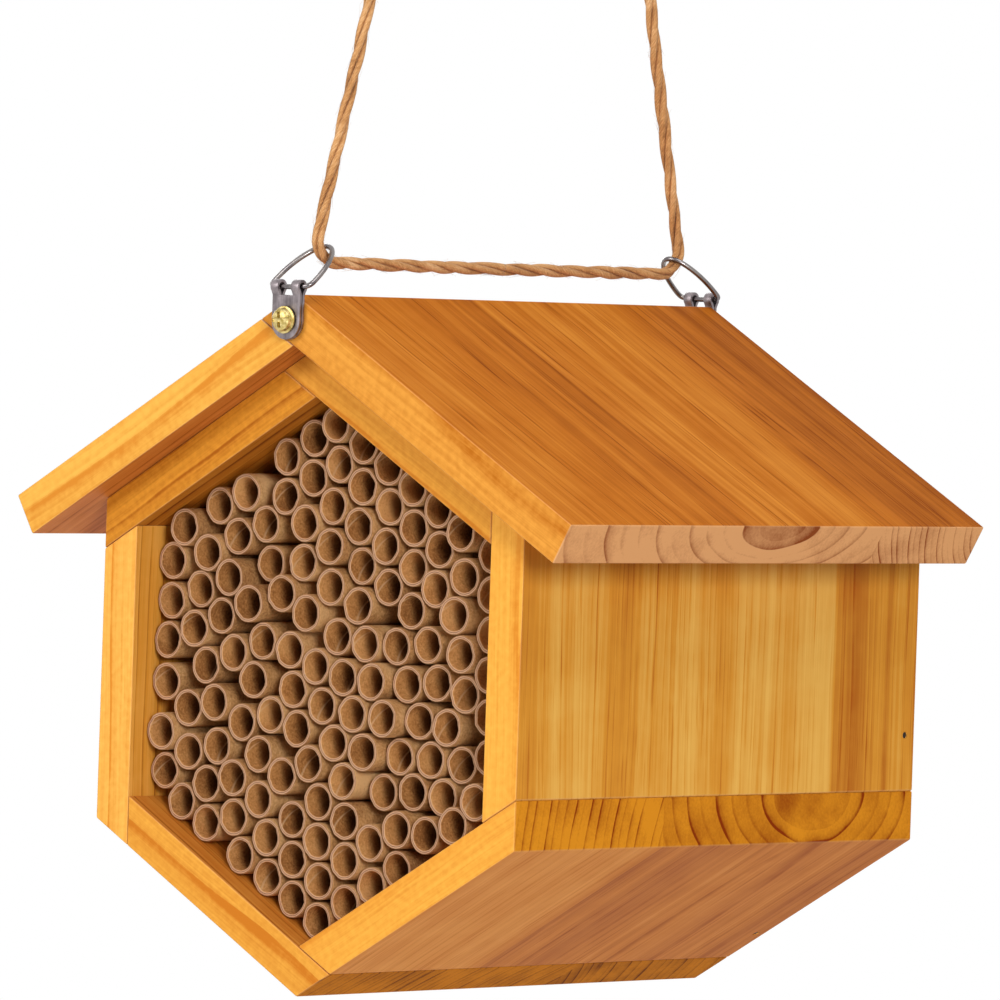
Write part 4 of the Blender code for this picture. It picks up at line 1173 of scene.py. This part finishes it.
# Copies the template to a place, out of round, with its rim cut a little askew and nicked
def copyTube(template, place, chance):
    one = template.copy()
    one.data = template.data.copy()
    bpy.context.scene.collection.objects.link(one)
    spin, oval, seed = chance.uniform(0, 6.28), chance.uniform(0, tube["oval"]), chance.uniform(0, 50)
    tiltX, tiltZ = (chance.uniform(-tube["tilt"], tube["tilt"]) for _ in range(2))
    turned = Matrix.Rotation(chance.uniform(0, 6.28), 3, "Y")
    for v in one.data.vertices:
        co = turned @ v.co
        angle = math.atan2(co.z, co.x)
        squeeze = 1 - oval * (0.5 + 0.5 * math.cos(2 * (angle - spin)))
        nearFront = max(0.0, 1 - co.y / tube["nickDepth"])
        wander = noise.noise(Vector((2.2 * math.cos(angle) + seed, 2.2 * math.sin(angle), 0)))
        nick = nearFront * tube["nicks"] * wander
        nick += nearFront * (tiltX * co.x + tiltZ * co.z)
        v.co = place + Vector((co.x * squeeze, co.y + nick, co.z * squeeze))
    shade = one.data.attributes.new("tubeTone", "FLOAT", "POINT")
    value = chance.uniform(0, 1)
    shade.data.foreach_set("value", [value] * len(one.data.vertices))
    return one


def makeTubes():
    card = makeCard()
    template = makeTubeTemplate()
    chance = random.Random(31)
    for number, bundle in enumerate(tubeBundles, 1):
        copies = []
        for across, up, steps in bundle:
            place = Vector((across * tube["pitch"], houseFront + steps * tube["recessStep"],
                            houseMiddle.z + up * tube["pitch"]))
            copies.append(copyTube(template, place, chance))
        deselectAll()
        for one in copies:
            one.select_set(True)
        bpy.context.view_layer.objects.active = copies[0]
        bpy.ops.object.join()
        node = f"tube_bundle_{number:02d}"
        finishPiece(copies[0], f"card_tubes_{number:02d}", card, "house", [node])
    bpy.data.objects.remove(template, do_unlink=True)


makeTubes()
print("tubes made")


# Light: soft lamps from the right, the front, the top and behind, white all round

lamps = {
    "key": {"place": (1.55, -1.05, 0.12), "size": 0.5, "power": 20.0},
    "front": {"place": (-0.6, -2.0, 0.5), "size": 1.0, "power": 22.0},
    "top": {"place": (0.9, -0.2, 1.7), "size": 0.9, "power": 14.0},
    "back": {"place": (-1.6, 1.1, 0.2), "size": 1.0, "power": 13.0},
}
floor = {"size": 14, "height": -1.2, "lift": 0.55}


def makeLight():
    for name, lamp in lamps.items():
        light = bpy.data.lights.new(name + "_softbox", "AREA")
        light.shape = "SQUARE"
        light.size = lamp["size"]
        light.energy = lamp["power"]
        thing = bpy.data.objects.new(name + "_softbox", light)
        bpy.context.scene.collection.objects.link(thing)
        thing.location = lamp["place"]
        aim = Vector((0, 0, -0.27)) - thing.location
        thing.rotation_euler = aim.to_track_quat("-Z", "Y").to_euler()
    world = bpy.data.worlds.new("studio")
    bpy.context.scene.world = world
    world.use_nodes = True
    tree = world.node_tree
    strength = addNode(tree, "ShaderNodeMapRange", {
        0: seenDirectly(tree), 1: 0.0, 2: 1.0, 3: 0.31, 4: 1.0})[0]
    tree.links.new(strength, tree.nodes["Background"].inputs["Strength"])
    tree.nodes["Background"].inputs["Color"].default_value = (1, 1, 1, 1)


def makeFloor():
    deselectAll()
    bpy.ops.mesh.primitive_plane_add(size=floor["size"], location=(0, 0, floor["height"]))
    sheet = bpy.context.object
    settlePlace(sheet)
    startEdit(sheet)
    bpy.ops.mesh.subdivide(number_cuts=3)
    endEdit()
    sheet.name = "studio_floor"
    # Studio paper: matt white. The camera, gloss and glass see it nearer to pure white, and
    # its light on the object stays plain
    material, tree, shader = newMaterial("white_studio_paper", {
        "Base Color": (0.86, 0.86, 0.86, 1), "Roughness": 0.9, "Specular IOR Level": 0.1,
        "Emission Color": (1, 1, 1, 1)})
    lift = addNode(tree, "ShaderNodeMath", {
        "operation": "MULTIPLY", 0: seenDirectly(tree), 1: floor["lift"]})[0]
    linkShader(tree, shader, {"Emission Strength": lift})
    sheet.data.materials.append(material)


makeLight()
makeFloor()
bpy.context.scene.view_settings.view_transform = "Standard"
print("light made")
